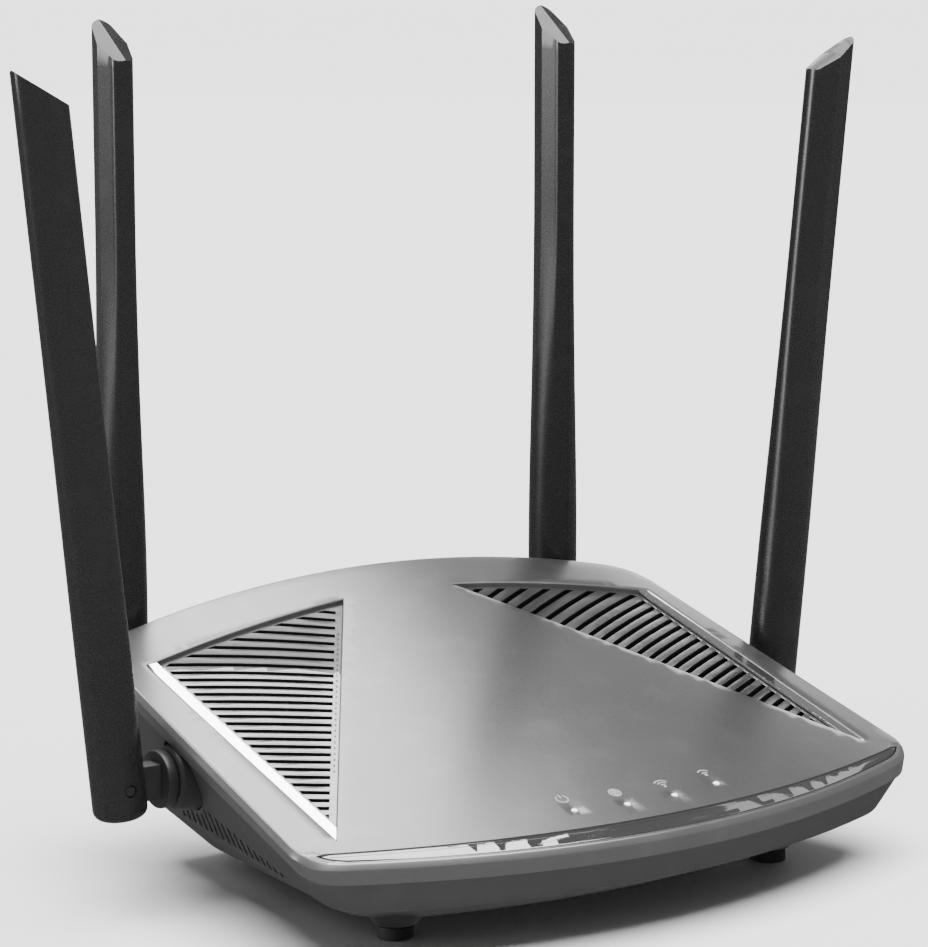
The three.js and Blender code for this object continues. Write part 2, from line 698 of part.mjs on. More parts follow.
// Block over the front facet, down to a depth below its surface. It cuts the rebate for the
// glossy trim, and with the housing's own top it makes the trim.
function facetBlock(clear, depth) {
  const reach = halfWidth + margin;
  const steps = 15;
  const outline = [[reach, frontY - margin]];
  for (let i = steps; i >= -steps; i--) {
    const x = reach * i / steps;
    outline.push([x, facetEdge(x) - clear]);
  }
  outline.push([-reach, frontY - margin]);
  const rim = facetRim + clear;
  const inside = ring({ front: rim, side: rim, rear: rim, height: () => 0 });
  const low = frontHeight - facetDrop - 2 * facetRebate;
  const block = solid(prism(outline, low, beyond)).intersect(solid(prism(inside, low, beyond)));
  return block.subtract(outer.translate([0, 0, -depth]));
}

function sideVents() {
  const reach = socketRootRadius + gap + ventSocketClear;
  const cuts = [];
  for (let i = 0; i < ventCount; i++) {
    const t = i / (ventCount - 1);
    const rise = t < 1 - ventPeakAt ? t / (1 - ventPeakAt) : (1 - t) / ventPeakAt;
    const y = frontY + ventFrontSetback + i * ventPitch;
    const away = Math.min(Math.abs(y - sidePinY), reach);
    const ceiling = sidePinZ - Math.sqrt(reach ** 2 - away ** 2);
    const low = Math.min(creaseHeight(y) + ventRise, ceiling - ventShortest);
    const height = Math.min(ventShortest + (ventTallest - ventShortest) * rise, ceiling - low);
    const cut = box([-beyond, beyond], [-ventWidth / 2, ventWidth / 2], [-height / 2, height / 2])
      .rotateX(ventLean).translate(0, y, low + height / 2);
    cuts.push(cut);
  }
  return cuts;
}

function baseSolid() {
  let base = outerBase.subtract(cavity).intersect(below);
  for (const [x, y] of Object.values(footSpots)) {
    const boss = turned([[0, footHeight + gap], [footBossRadius - bossFlare, footHeight + gap],
      [footBossRadius, floorZ + bossRound], [footBossRadius, inFloor], [0, inFloor]]);
    base = base.add(solid(boss.translate(x, y, 0)))
      .subtract(solid(rod(footStemRadius + gap, 0, footTop + gap).translate(x, y, 0)));
  }
  for (const [x, y] of screwSpots) {
    const postEnd = screwSeatZ + postStart - gap;
    base = base.add(solid(rod(basePostRadius, inFloor, postEnd).translate(x, y, 0)))
      .subtract(solid(rod(screwHeadRadius + gap, 0, screwSeatZ).translate(x, y, 0)))
      .subtract(solid(rod(screwShankRadius + gap, 0, postEnd + gap, 12).translate(x, y, 0)));
  }
  const pegTop = boardZ + boardThickness + boardPegHeight;
  for (const [x, y] of pillarSpots) {
    const pillar = turned([[0, inFloor], [boardPillarRadius, inFloor], [boardPillarRadius, boardZ - gap],
      [boardPegRadius, boardZ - gap], [boardPegRadius, pegTop], [0, pegTop]], 12);
    base = base.add(solid(pillar.translate(x, y, 0)));
  }
  base = base.subtract(solid(box([-panelHalfWidth - gap, panelHalfWidth + gap],
    [panelY - panelThickness - gap, rearY + margin], [panelBottom - gap, panelTop + gap])));
  for (const antenna of Object.values(antennas)) {
    base = base.subtract(socketCutter(antenna));
  }
  for (const cut of sideVents()) {
    base = base.subtract(solid(cut));
  }
  return base;
}

// ---------------------------------------------------------------- board and sockets

function boardSolid() {
  let board = solid(box([-boardHalfWidth, boardHalfWidth], [boardFront, boardRear],
    [boardZ, boardZ + boardThickness]));
  board = board.add(solid(box([-boardTongueHalf, boardTongueHalf],
    [frontY + pipeInset - boardTongueLap, boardFront + boardTongueLap], [boardZ, boardZ + boardThickness])));
  for (const [x, y] of pillarSpots) {
    board = board.subtract(solid(rod(boardPegRadius + gap, 0, beyond, 12).translate(x, y, 0)));
  }
  for (const [x, y] of screwSpots) {
    board = board.subtract(solid(rod(basePostRadius + gap, 0, beyond).translate(x, y, 0)));
  }
  return board;
}

function heatSinkSolid() {
  const z = onBoard + canHeight + gap;
  const half = sinkSize / 2;
  let sink = solid(box([-half, half], [-half, half], [z, z + sinkBase]));
  for (let i = 0; i < finCount; i++) {
    const x = -half + finThickness / 2 + (sinkSize - finThickness) * i / (finCount - 1);
    sink = sink.add(solid(box([x - finThickness / 2, x + finThickness / 2], [-half, half],
      [z + sinkBase / 2, z + sinkHeight])));
  }
  return sink.translate([0, processorY, 0]);
}

function canSolid(width, depth, height) {
  const can = solid(box([-width / 2, width / 2], [-depth / 2, depth / 2], [onBoard, onBoard + height]));
  const halfX = width / 2 - canWall;
  const halfY = depth / 2 - canWall;
  const inside = solid(box([-halfX, halfX], [-halfY, halfY], [onBoard - 1, onBoard + height - canWall]));
  return can.subtract(inside);
}

// Network socket: a shielded block with a stepped mouth that opens to the rear.
function portSolid(x) {
  const y = panelY - gap;
  const block = solid(box([x - portWidth / 2, x + portWidth / 2], [y - portDepth, y],
    [onBoard, onBoard + portHeight]));
  const mouthLow = onBoard + portSill;
  const mouthY = [y - portMouthDepth, y + margin];
  const mouth = solid(box([x - portMouthWidth / 2, x + portMouthWidth / 2], mouthY,
    [mouthLow, mouthLow + portMouthHeight]));
  const key = solid(box([x - portKeyHalf, x + portKeyHalf], mouthY,
    [mouthLow - portKeyDrop, mouthLow + portMouthHeight / 2]));
  return block.subtract(mouth).subtract(key);
}

function jackSolid() {
  const y = panelY - gap;
  const z = onBoard + jackHeight / 2;
  const block = solid(box([jackX - jackWidth / 2, jackX + jackWidth / 2], [y - jackDepth, y],
    [onBoard, onBoard + jackHeight]));
  const back = y - jackDepth + jackBack;
  const bore = solid(alongY(rod(jackBoreRadius, back, y + margin)).translate(jackX, 0, z));
  const pin = solid(alongY(rod(jackPinRadius, back - 1, y - jackPinSetback, 12)).translate(jackX, 0, z));
  return block.subtract(bore).add(pin);
}

const buttonZ = onBoard + buttonRise;
const buttonBack = panelY - panelThickness - gap - buttonLipThickness;

// Push button, out by its travel when it is at rest.
function buttonSolid(x, radius, travel) {
  const lip = radius + buttonLip;
  const lipFront = buttonBack + buttonLipThickness;
  const face = panelY + travel;
  const cap = alongY(turned([[0, buttonBack], [lip, buttonBack], [lip, lipFront], [radius, lipFront],
    [radius, face - buttonRound], [radius - buttonRound, face], [0, face]], 16));
  return solid(cap.translate(x, 0, buttonZ));
}

// Switch that a button presses at the end of its travel.
function switchSolid(x, size, travel) {
  const front = buttonBack - travel - buttonPlay;
  return solid(box([x - size / 2, x + size / 2], [front - size, front], [onBoard, buttonZ + size / 2]));
}

function panelSolid() {
  let panel = solid(box([-panelHalfWidth, panelHalfWidth], [panelY - panelThickness, panelY],
    [panelBottom, panelTop]));
  const through = [panelY - margin, panelY + margin];
  const openings = Object.values(portX).map((x) => [x, portWidth, portHeight]);
  openings.push([jackX, jackWidth, jackHeight]);
  for (const [x, width, height] of openings) {
    panel = panel.subtract(solid(box([x - width / 2 - gap, x + width / 2 + gap], through,
      [onBoard - gap, onBoard + height + gap])));
  }
  const holes = [[powerButtonX, powerButtonRadius + gap], [wpsButtonX, wpsButtonRadius + gap],
    [resetX, resetHoleRadius]];
  for (const [x, radius] of holes) {
    panel = panel.subtract(solid(alongY(rod(radius, ...through)).translate(x, 0, buttonZ)));
  }
  return panel;
}

// Coaxial lead from the board to an antenna socket.
function leadGeometry({ pin, heading, leadInset }) {
  const up = new THREE.Vector3(0, 0, 1);
  const inwards = new THREE.Vector3(-1, 0, 0).applyAxisAngle(up, heading);
  const tail = new THREE.Vector3(...pin).addScaledVector(inwards, leadRadius + gap - socketFar);
  const start = new THREE.Vector3(Math.sign(pin[0]) * (boardHalfWidth - leadSideInset),
    boardRear - leadInset, onBoard + leadRadius + gap);
  const route = new THREE.CatmullRomCurve3([
    start, start.clone().addScaledVector(up, leadRise),
    tail.clone().addScaledVector(inwards, leadEnd).addScaledVector(up, -2 * leadRadius), tail,
  ]);
  const section = new THREE.Shape(Array.from({ length: 8 }, (_, i) => new THREE.Vector2(
    leadRadius * Math.cos(i * Math.PI / 4), leadRadius * Math.sin(i * Math.PI / 4))));
  return new THREE.ExtrudeGeometry(section, { steps: 14, bevelEnabled: false, extrudePath: route });
}

// ---------------------------------------------------------------- finishes and assembly

const finishes = {
  satin: { color: 0x55575a, roughness: 0.42, metalness: 0.25 },
  gloss: { color: 0x2a2b2d, roughness: 0.08, metalness: 0.3 },
  matte: { color: 0x3c3d3f, roughness: 0.6, metalness: 0 },
  grille: { color: 0x4a4b4d, roughness: 0.45, metalness: 0.1 },
  antenna: { color: 0x2b2c2e, roughness: 0.38, metalness: 0 },
  hinge: { color: 0x232425, roughness: 0.5, metalness: 0 },
  rubber: { color: 0x1b1b1c, roughness: 0.9, metalness: 0 },
  board: { color: 0x1d4a2c, roughness: 0.5, metalness: 0 },
  steel: { color: 0xb9bbbd, roughness: 0.35, metalness: 1 },
  aluminium: { color: 0x9fa1a3, roughness: 0.4, metalness: 1 },
  socket: { color: 0x141415, roughness: 0.5, metalness: 0 },
  light: { color: 0xf4f6f8, roughness: 0.3, metalness: 0 },
  lead: { color: 0x101011, roughness: 0.5, metalness: 0 },
};

const router = new THREE.Group();

function piece(parent, name, shape, finish) {
  const geometry = shape.isBufferGeometry ? shape : geometryOf(shape);
  const mesh = new THREE.Mesh(geometry, new THREE.MeshStandardMaterial(finishes[finish]));
  mesh.name = name;
  parent.add(mesh);
  return mesh;
}

piece(router, 'top_cover', coverSolid(), 'satin');
piece(router, 'base_shell', baseSolid(), 'matte');
piece(router, 'front_trim', facetBlock(gap, facetRebate - gap).intersect(outer), 'gloss');
for (const [side, sign] of [['left', -1], ['right', 1]]) {
  piece(router, `grille_${side}`, grille(sign), 'grille');
  piece(router, `accent_strip_${side}`, accentStrip(sign), 'gloss');
}

for (const [corner, [x, y]] of Object.entries(footSpots)) {
  const profile = [[0, 0], [footRadius - footEdge, 0], [footRadius, footEdge], [footRadius, footHeight],
    [footStemRadius, footHeight], [footStemRadius, footTop], [0, footTop]];
  piece(router, `foot_${corner}`, solid(turned(profile)), 'rubber').position.set(x, y, 0);
}

screwSpots.forEach(([x, y], i) => {
  const head = screwSeatZ - gap;
  const profile = [[0, head - screwHeadHeight], [screwHeadRadius, head - screwHeadHeight],
    [screwHeadRadius, head], [screwShankRadius, head], [screwShankRadius, head + screwShankLength],
    [0, head + screwShankLength + screwTip]];
  piece(router, `housing_screw_${i + 1}`, solid(turned(profile, 16)), 'steel').position.set(x, y, 0);
});

indicators.forEach(([x, y], i) => {
  const rodShape = solid(rod(pipeRadius, onBoard, beyond, 12).translate(x, y, 0))
    .intersect(solid(slab(...wide, () => 0, (u, v) => topZ(u, v) - flush)));
  piece(router, `light_pipe_${i + 1}`, rodShape, 'light');
});

piece(router, 'main_board', boardSolid(), 'board');
const processorCan = canSolid(processorSize, processorSize, canHeight).translate([0, processorY, 0]);
piece(router, 'processor_can', processorCan, 'steel');
piece(router, 'heat_sink', heatSinkSolid(), 'aluminium');
for (const [side, sign] of [['left', -1], ['right', 1]]) {
  const can = canSolid(radioCanWidth, radioCanDepth, radioCanHeight);
  piece(router, `radio_can_${side}`, can.translate([sign * radioCanX, radioCanY, 0]), 'steel');
}

for (const [name, x] of Object.entries(portX)) piece(router, name, portSolid(x), 'steel');
piece(router, 'dc_jack', jackSolid(), 'socket');
piece(router, 'rear_panel', panelSolid(), 'matte');
piece(router, 'power_button', buttonSolid(powerButtonX, powerButtonRadius, powerButtonTravel), 'socket');
piece(router, 'power_switch', switchSolid(powerSwitchX, powerSwitchSize, powerButtonTravel), 'socket');
piece(router, 'wps_button', buttonSolid(wpsButtonX, wpsButtonRadius, wpsButtonTravel), 'socket');
piece(router, 'wps_switch', switchSolid(wpsSwitchX, wpsSwitchSize, wpsButtonTravel), 'steel');

const pinHalf = bladeRadius - gap;
for (const [name, antenna] of Object.entries(antennas)) {
  const mount = new THREE.Group();
  mount.applyMatrix4(placeOf(antenna));
  router.add(mount);
  const arm = new THREE.Group();
  arm.rotation.y = antenna.lean;
  mount.add(arm);
  piece(mount, `socket_${name}`, socketSolid(), 'hinge');
  piece(mount, `knuckle_${name}`, knuckleSolid(), 'hinge');
  piece(arm, `blade_${name}`, bladeSolid(), 'antenna');
  piece(arm, `hinge_pin_${name}`, alongY(rod(pinRadius, -pinHalf, pinHalf, 12)), 'steel');
  piece(router, `antenna_lead_${name}`, leadGeometry(antenna), 'lead');
}

export default router;
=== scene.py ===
"""Looks of a wireless router with four hinged blade antennas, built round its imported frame.

Sizes are millimetres and become metres when a mesh is written. +Z is up and the front is at -Y.
Each sub-assembly is a class that holds its sizes, works its surfaces out as arrays, and dresses them.
"""
import logging
import math
from dataclasses import dataclass, field
from enum import Enum

import bpy
import numpy as np
from mathutils import Matrix, Vector
from mathutils.geometry import delaunay_2d_cdt


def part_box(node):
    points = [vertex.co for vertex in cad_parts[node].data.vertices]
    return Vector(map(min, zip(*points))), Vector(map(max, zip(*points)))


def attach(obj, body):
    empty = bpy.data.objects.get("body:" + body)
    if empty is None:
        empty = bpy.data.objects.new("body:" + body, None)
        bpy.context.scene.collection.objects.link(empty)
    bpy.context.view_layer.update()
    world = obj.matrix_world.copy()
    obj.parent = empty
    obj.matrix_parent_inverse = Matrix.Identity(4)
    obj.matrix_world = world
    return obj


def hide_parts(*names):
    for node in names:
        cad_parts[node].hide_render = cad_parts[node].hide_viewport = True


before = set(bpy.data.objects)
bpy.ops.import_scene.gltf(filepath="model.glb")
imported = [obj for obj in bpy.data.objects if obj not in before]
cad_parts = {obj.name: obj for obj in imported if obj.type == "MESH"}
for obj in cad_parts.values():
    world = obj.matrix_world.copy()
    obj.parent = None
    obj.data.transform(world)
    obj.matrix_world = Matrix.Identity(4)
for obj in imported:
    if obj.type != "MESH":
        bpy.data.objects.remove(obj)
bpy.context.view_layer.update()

MM = 0.001
SHARP_ANGLE = math.radians(32)
MERGE_DISTANCE = 5e-6
AXIS_RADIUS = 0.001          # where a turned profile starts and ends, beside its axis
ROD_SIDES = 32
FEET = ("front_left", "front_right", "rear_left", "rear_right")
LOG = logging.getLogger("router")

Array = np.ndarray


# ---------------------------------------------------------------------------- shader maths


class Value:
    """One output socket of a shader tree, with operators that add Math nodes."""

    def __init__(self, tree: "Shader", socket: bpy.types.NodeSocket) -> None:
        """Wrap a socket.

        Args:
            tree: The material that the socket belongs to.
            socket: The output socket.
        """
        self.tree = tree
        self.socket = socket

    def _math(self, operation: str, first: object, second: object) -> "Value":
        """Add one Math node.

        Args:
            operation: The node's operation.
            first: A number or a value.
            second: A number or a value.

        Returns:
            The node's result.
        """
        return self.tree.node("ShaderNodeMath", {"operation": operation}, {0: first, 1: second})

    def __add__(self, other: object) -> "Value":
        """Sum."""
        return self._math("ADD", self, other)

    __radd__ = __add__

    def __mul__(self, other: object) -> "Value":
        """Product."""
        return self._math("MULTIPLY", self, other)

    __rmul__ = __mul__

    def __sub__(self, other: object) -> "Value":
        """Difference."""
        return self._math("SUBTRACT", self, other)

    def __rsub__(self, other: object) -> "Value":
        """Difference with the number first."""
        return self._math("SUBTRACT", other, self)

    def __gt__(self, other: object) -> "Value":
        """1 where this is greater, otherwise 0."""
        return self._math("GREATER_THAN", self, other)

    def ramp(self, low: float, high: float) -> "Value":
        """Smooth step from 0 to 1 while this goes from low to high.

        Args:
            low: Where the step begins.
            high: Where it ends.

        Returns:
            The stepped value.
        """
        settings = {"interpolation_type": "SMOOTHSTEP"}
        return self.tree.node("ShaderNodeMapRange", settings, {0: self, 1: low, 2: high})


class Shader:
    """One material's node tree round a Principled shader."""

    def __init__(self, name: str) -> None:
        """Start an empty material.

        Args:
            name: The material's name.
        """
        self.material = bpy.data.materials.new(name)
        self.material.use_nodes = True
        self.nodes = self.material.node_tree.nodes
        self.links = self.material.node_tree.links
        self.surface = self.nodes["Principled BSDF"]
        coordinates = self.nodes.new("ShaderNodeTexCoord")
        self.place = Value(self, coordinates.outputs["Object"])

    def _feed(self, socket: bpy.types.NodeSocket, value: object) -> None:
        """Link a value to an input, or set it as the input's default."""
        if isinstance(value, Value):
            self.links.new(value.socket, socket)
        else:
            socket.default_value = value

    def node(self, kind: str, settings: dict | None = None, values: dict | None = None,
             output: int | str = 0) -> Value:
        """Add one node.

        Args:
            kind: The node's type.
            settings: Its properties, which are set first.
            values: Its inputs, by name or number: values to link or numbers to set.
            output: The output that is returned.

        Returns:
            That output as a value.
        """
        made = self.nodes.new(kind)
        for key, setting in (settings or {}).items():
            setattr(made, key, setting)
        for key, value in (values or {}).items():
            self._feed(made.inputs[key], value)
        return Value(self, made.outputs[output])

    def noise(self, per_metre: float, detail: float = 3.0, stretch: tuple = (1, 1, 1)) -> Value:
        """Cloudy noise from 0 to 1 over the piece.

        Args:
            per_metre: Blobs per metre.
            detail: Octaves of finer noise.
            stretch: Scale of each axis.

        Returns:
            The noise.
        """
        place = self.place
        if stretch != (1, 1, 1):
            place = self.node("ShaderNodeMapping", None, {"Vector": self.place, "Scale": stretch})
        return self.node("ShaderNodeTexNoise", None,
                         {"Vector": place, "Scale": per_metre, "Detail": detail})

    def mix(self, share: object, first: object, second: object) -> Value:
        """Blend two colours.

        Args:
            share: 0 gives the first colour and 1 the second.
            first: A colour.
            second: A colour.

        Returns:
            The blended colour.
        """
        return self.node("ShaderNodeMix", {"data_type": "RGBA"}, {0: share, 6: first, 7: second}, 2)

    def set(self, **values: object) -> None:
        """Set or link inputs of the Principled shader; a name's underscores stand for spaces."""
        for name, value in values.items():
            self._feed(self.surface.inputs[name.replace("_", " ")], value)

    def bump(self, height: Value, depth: float) -> None:
        """Raise the surface by a height pattern.

        Args:
            height: The pattern, from 0 to 1.
            depth: How far 1 stands up, in metres.
        """
        values = {"Height": height, "Distance": depth, "Strength": 1.0}
        self.set(Normal=self.node("ShaderNodeBump", None, values))


def grey(level: float, warmth: float = 0.0) -> tuple[float, float, float, float]:
    """A neutral colour.

    Args:
        level: Its linear brightness.
        warmth: Above 0 makes it warmer, below 0 cooler.

    Returns:
        Red, green, blue and alpha.
    """
    return (level * (1 + warmth), level, level * (1 - warmth), 1.0)


# ---------------------------------------------------------------------------- finishes


class Slot(Enum):
    """The record's material slots."""

    COVER = "cover_satin"
    BASE = "base_matte"
    TRIM = "trim_gloss"
    GRILLE = "grille"
    ANTENNA = "antenna_plastic"
    HINGE = "hinge_plastic"
    RUBBER = "foot_rubber"
    BOARD = "circuit_board"
    STEEL = "steel"
    ALUMINIUM = "aluminium"
    SOCKET = "socket_plastic"
    BUTTON = "button_plastic"
    INDICATOR = "indicator"
    LEAD = "lead"


@dataclass(frozen=True)
class Plastic:
    """Moulded plastic: a spark-eroded grain, faint flow clouds and a little rubbing."""

    name: str
    slot: Slot
    level: float
    roughness: float
    metallic: float = 0.0
    specular: float = 0.5
    grain_pitch: float = 0.35
    grain_depth: float = 0.012
    clouds: float = 0.12
    rubbing: float = 0.06
    clouds_per_metre: float = 26.0
    rubs_per_metre: float = 90.0
    rubbed_share: float = 0.35
    rubbed_gain: float = 1.3
    grain_spread: float = 0.10
    cloud_spread: float = 0.6

    def make(self) -> bpy.types.Material:
        """Build the material.

        Returns:
            The material.
        """
        shader = Shader(self.name)
        grain = shader.noise(1 / (self.grain_pitch * MM), 2.0)
        clouds = shader.noise(self.clouds_per_metre, 4.0)
        rubbed = shader.noise(self.rubs_per_metre, 5.0).ramp(0.5, 0.72)
        base = shader.mix(clouds, grey(self.level * (1 - self.clouds)),
                          grey(self.level * (1 + self.clouds)))
        base = shader.mix(rubbed * self.rubbed_share, base, grey(self.level * self.rubbed_gain))
        speck = ((grain - 0.5) * self.grain_spread + (clouds - 0.5) * (self.cloud_spread * self.clouds)
                 + rubbed * self.rubbing)
        shader.set(Base_Color=base, Roughness=speck + self.roughness, Metallic=self.metallic,
                   Specular_IOR_Level=self.specular)
        shader.bump(grain, self.grain_depth * MM)
        return shader.material


@dataclass(frozen=True)
class Gloss:
    """Polished plastic with faint waves and a few fine hairline scratches."""

    name: str
    slot: Slot
    level: float
    roughness: float
    metallic: float
    coat: float = 0.6
    coat_roughness: float = 0.03
    wave_depth: float = 0.02
    wave_spread: float = 0.15
    dust_share: float = 0.25
    dust_gain: float = 2.2

    def make(self) -> bpy.types.Material:
        """Build the material.

        Returns:
            The material.
        """
        shader = Shader(self.name)
        waves = shader.noise(40.0, 2.0)
        hairs = shader.noise(700.0, 2.0, (0.06, 1.0, 1.0)).ramp(0.62, 0.7)
        dust = shader.noise(2600.0, 1.0).ramp(0.68, 0.76)
        base = shader.mix(waves, grey(self.level * (1 - self.wave_spread)),
                          grey(self.level * (1 + self.wave_spread)))
        base = shader.mix(dust * self.dust_share, base, grey(self.level * self.dust_gain))
        shader.set(Base_Color=base, Roughness=hairs * 0.1 + dust * 0.12 + self.roughness,
                   Metallic=self.metallic, Coat_Weight=self.coat, Coat_Roughness=self.coat_roughness)
        shader.bump(waves, self.wave_depth * MM)
        return shader.material


@dataclass(frozen=True)
class Rubber:
    """Dull rubber with a fine tooth and dust in it."""

    name: str
    slot: Slot
    level: float = 0.012
    roughness: float = 0.68
    tooth_depth: float = 0.03
    dust_share: float = 0.5
    dust_gain: float = 3.2
    dust_warmth: float = 0.03

    def make(self) -> bpy.types.Material:
        """Build the material.

        Returns:
            The material.
        """
        shader = Shader(self.name)
        tooth = shader.noise(3200.0, 3.0)
        dust = shader.noise(240.0, 4.0).ramp(0.45, 0.75)
        dusty = grey(self.level * self.dust_gain, self.dust_warmth)
        shader.set(Base_Color=shader.mix(dust * self.dust_share, grey(self.level), dusty),
                   Roughness=dust * 0.12 + tooth * 0.1 + self.roughness)
        shader.bump(tooth, self.tooth_depth * MM)
        return shader.material


@dataclass(frozen=True)
class Metal:
    """Rolled or cast metal with marks that run along one axis."""

    name: str
    slot: Slot
    level: float
    roughness: float
    warmth: float = 0.0
    marks: tuple[float, float, float] = (1.0, 0.05, 1.0)
    mark_depth: float = 0.008
    tarnish_level: float = 0.86

    def make(self) -> bpy.types.Material:
        """Build the material.

        Returns:
            The material.
        """
        shader = Shader(self.name)
        marks = shader.noise(2400.0, 2.0, self.marks)
        tarnish = shader.noise(160.0, 4.0)
        shader.set(Base_Color=shader.mix(tarnish, grey(self.level * self.tarnish_level, self.warmth),
                                         grey(self.level, self.warmth)),
                   Metallic=1.0, Roughness=marks * 0.12 + tarnish * 0.08 + self.roughness)
        shader.bump(marks, self.mark_depth * MM)
        return shader.material


@dataclass(frozen=True)
class Board:
    """Green solder mask over copper tracks and ground areas."""

    name: str
    slot: Slot
    mask: tuple = (0.006, 0.050, 0.018, 1)
    over_tracks: tuple = (0.020, 0.110, 0.040, 1)
    over_ground: tuple = (0.012, 0.080, 0.030, 1)
    roughness: float = 0.3
    track_depth: float = 0.04

    def make(self) -> bpy.types.Material:
        """Build the material.

        Returns:
            The material.
        """
        shader = Shader(self.name)
        brick = {"Vector": shader.place, "Scale": 330.0, "Mortar Size": 0.06, "Bias": -0.4,
                 "Color1": grey(1.0), "Color2": grey(1.0), "Mortar": grey(0.0)}
        tracks = shader.node("ShaderNodeTexBrick", None, brick, "Fac")
        areas = shader.noise(70.0, 2.0) > 0.52
        mask = shader.mix(tracks * 0.6, self.mask, self.over_tracks)
        mask = shader.mix(areas * 0.4, mask, self.over_ground)
        shader.set(Base_Color=mask, Roughness=shader.noise(900.0) * 0.15 + self.roughness)
        shader.bump(tracks, self.track_depth * MM)
        return shader.material


@dataclass(frozen=True)
class Lamp:
    """Clear pipe end with white light behind it."""

    name: str
    slot: Slot
    strength: float = 1.6
    cool: tuple = (0.86, 0.90, 0.95, 1)
    white: tuple = (1.0, 1.0, 1.0, 1)

    def make(self) -> bpy.types.Material:
        """Build the material.

        Returns:
            The material.
        """
        shader = Shader(self.name)
        mottle = shader.noise(1500.0, 2.0)
        glow = shader.mix(mottle, self.cool, self.white)
        shader.set(Base_Color=glow, Roughness=mottle * 0.1 + 0.2, Emission_Color=glow,
                   Emission_Strength=self.strength)
        return shader.material


class Finish(Enum):
    """Every finish of the router."""

    COVER = Plastic("satin_cover_plastic", Slot.COVER, 0.17, 0.29, metallic=0.9,
                    grain_pitch=0.22, grain_depth=0.005, clouds=0.03, rubbing=0.008)
    # Darker, less metallic copy of the cover's plastic for its walls: painted shade, not a second colour
    # of the moulding.
    SKIRT_SHADE = Plastic("cover_wall_painted_shade", Slot.COVER, 0.1, 0.34, metallic=0.45,
                    grain_pitch=0.22, grain_depth=0.006, clouds=0.05, rubbing=0.03)
    BASE = Plastic("fine_grained_base_plastic", Slot.BASE, 0.034, 0.46, grain_pitch=0.4,
                   grain_depth=0.02, clouds=0.1)
    TRIM = Gloss("polished_front_trim", Slot.TRIM, 0.16, 0.06, 0.85)
    ACCENT = Gloss("polished_accent_strip", Slot.TRIM, 0.85, 0.05, 0.98)
    GRILLE = Plastic("satin_grille_plastic", Slot.GRILLE, 0.2, 0.25, metallic=0.9,
                     grain_pitch=0.2, grain_depth=0.006, clouds=0.08)
    # Darker, less metallic copy of the grille's plastic for the louvres behind the fold: painted shade,
    # standing in for their tilt away from the light.
    LOUVRE_SHADE = Plastic("louvre_painted_shade", Slot.GRILLE, 0.05, 0.3, metallic=0.6,
                     grain_pitch=0.2, grain_depth=0.006, clouds=0.08)
    # Near-black, barely reflecting finish for the walls of the grille's slots: painted shade inside the
    # slots.
    GROOVE_SHADE = Plastic("groove_painted_shade", Slot.GRILLE, 0.004, 0.6, specular=0.1)
    ANTENNA = Plastic("satin_antenna_plastic", Slot.ANTENNA, 0.014, 0.27, specular=0.45,
                      grain_pitch=0.3, grain_depth=0.0015, clouds=0.06, rubbing=0.02)
    HINGE = Plastic("dark_hinge_plastic", Slot.HINGE, 0.018, 0.4, grain_pitch=0.3,
                    grain_depth=0.012)
    RUBBER = Rubber("foot_rubber", Slot.RUBBER)
    BOARD = Board("green_circuit_board", Slot.BOARD)
    STEEL = Metal("tinned_steel", Slot.STEEL, 0.62, 0.26)
    GOLD = Metal("gold_contact", Slot.STEEL, 0.72, 0.2, 0.3)
    ALUMINIUM = Metal("anodised_aluminium", Slot.ALUMINIUM, 0.5, 0.36, marks=(0.06, 1.0, 1.0))
    SOCKET = Plastic("black_socket_plastic", Slot.SOCKET, 0.012, 0.45, grain_pitch=0.25)
    BUTTON = Plastic("black_button_plastic", Slot.BUTTON, 0.016, 0.36, grain_pitch=0.25)
    PRINT = Plastic("pale_icon_ink", Slot.INDICATOR, 0.36, 0.5, grain_pitch=0.15,
                    grain_depth=0.004, clouds=0.04)
    LAMP = Lamp("lit_indicator", Slot.INDICATOR)
    LEAD = Plastic("black_lead_jacket", Slot.LEAD, 0.012, 0.42, grain_pitch=0.5)


class Paintbox:
    """Makes each finish's material once and hands it out."""

    def __init__(self) -> None:
        """Start with no material made."""
        self.made: dict[Finish, bpy.types.Material] = {}

    def get(self, finish: Finish) -> bpy.types.Material:
        """The material of a finish."""
        if finish not in self.made:
            self.made[finish] = finish.value.make()
        return self.made[finish]

    def dress(self, piece: bpy.types.Object, finish: Finish) -> None:
        """Give a piece one finish.

        Args:
            piece: The piece.
            finish: Its finish.
        """
        piece.data.materials.clear()
        piece.data.materials.append(self.get(finish))

    def paint_wall_shade(self, piece: bpy.types.Object, finish: Finish, upright: float) -> None:
        """Give the walls of a piece that is dressed already another, darker finish: painted shade on the
        walls.

        Args:
            piece: The piece.
            finish: The darker finish of its walls, which paints shade on them.
            upright: A face is a wall where its normal's height is below this.
        """
        piece.data.materials.append(self.get(finish))
        normals = np.empty(len(piece.data.polygons) * 3, dtype=np.float32)
        piece.data.polygons.foreach_get("normal", normals)
        walls = normals.reshape(-1, 3)[:, 2] < upright
        piece.data.polygons.foreach_set("material_index", walls.astype(np.int32))


PAINT = Paintbox()


# ---------------------------------------------------------------------------- mesh work


def grid_faces(rows: int, columns: int, wrap: bool) -> Array:
    """Quads between the points of a grid, by index arithmetic.

    Args:
        rows: Points along the first direction.
        columns: Points along the second.
        wrap: Whether the last column joins the first.

    Returns:
        An array of quads.
    """
    row = np.arange(rows - 1)[:, None] * columns
    column = np.arange(columns if wrap else columns - 1)[None, :]
    after = (column + 1) % columns
    corners = (row + column, row + after, row + columns + after, row + columns + column)
    return np.stack(np.broadcast_arrays(*corners), -1).reshape(-1, 4)


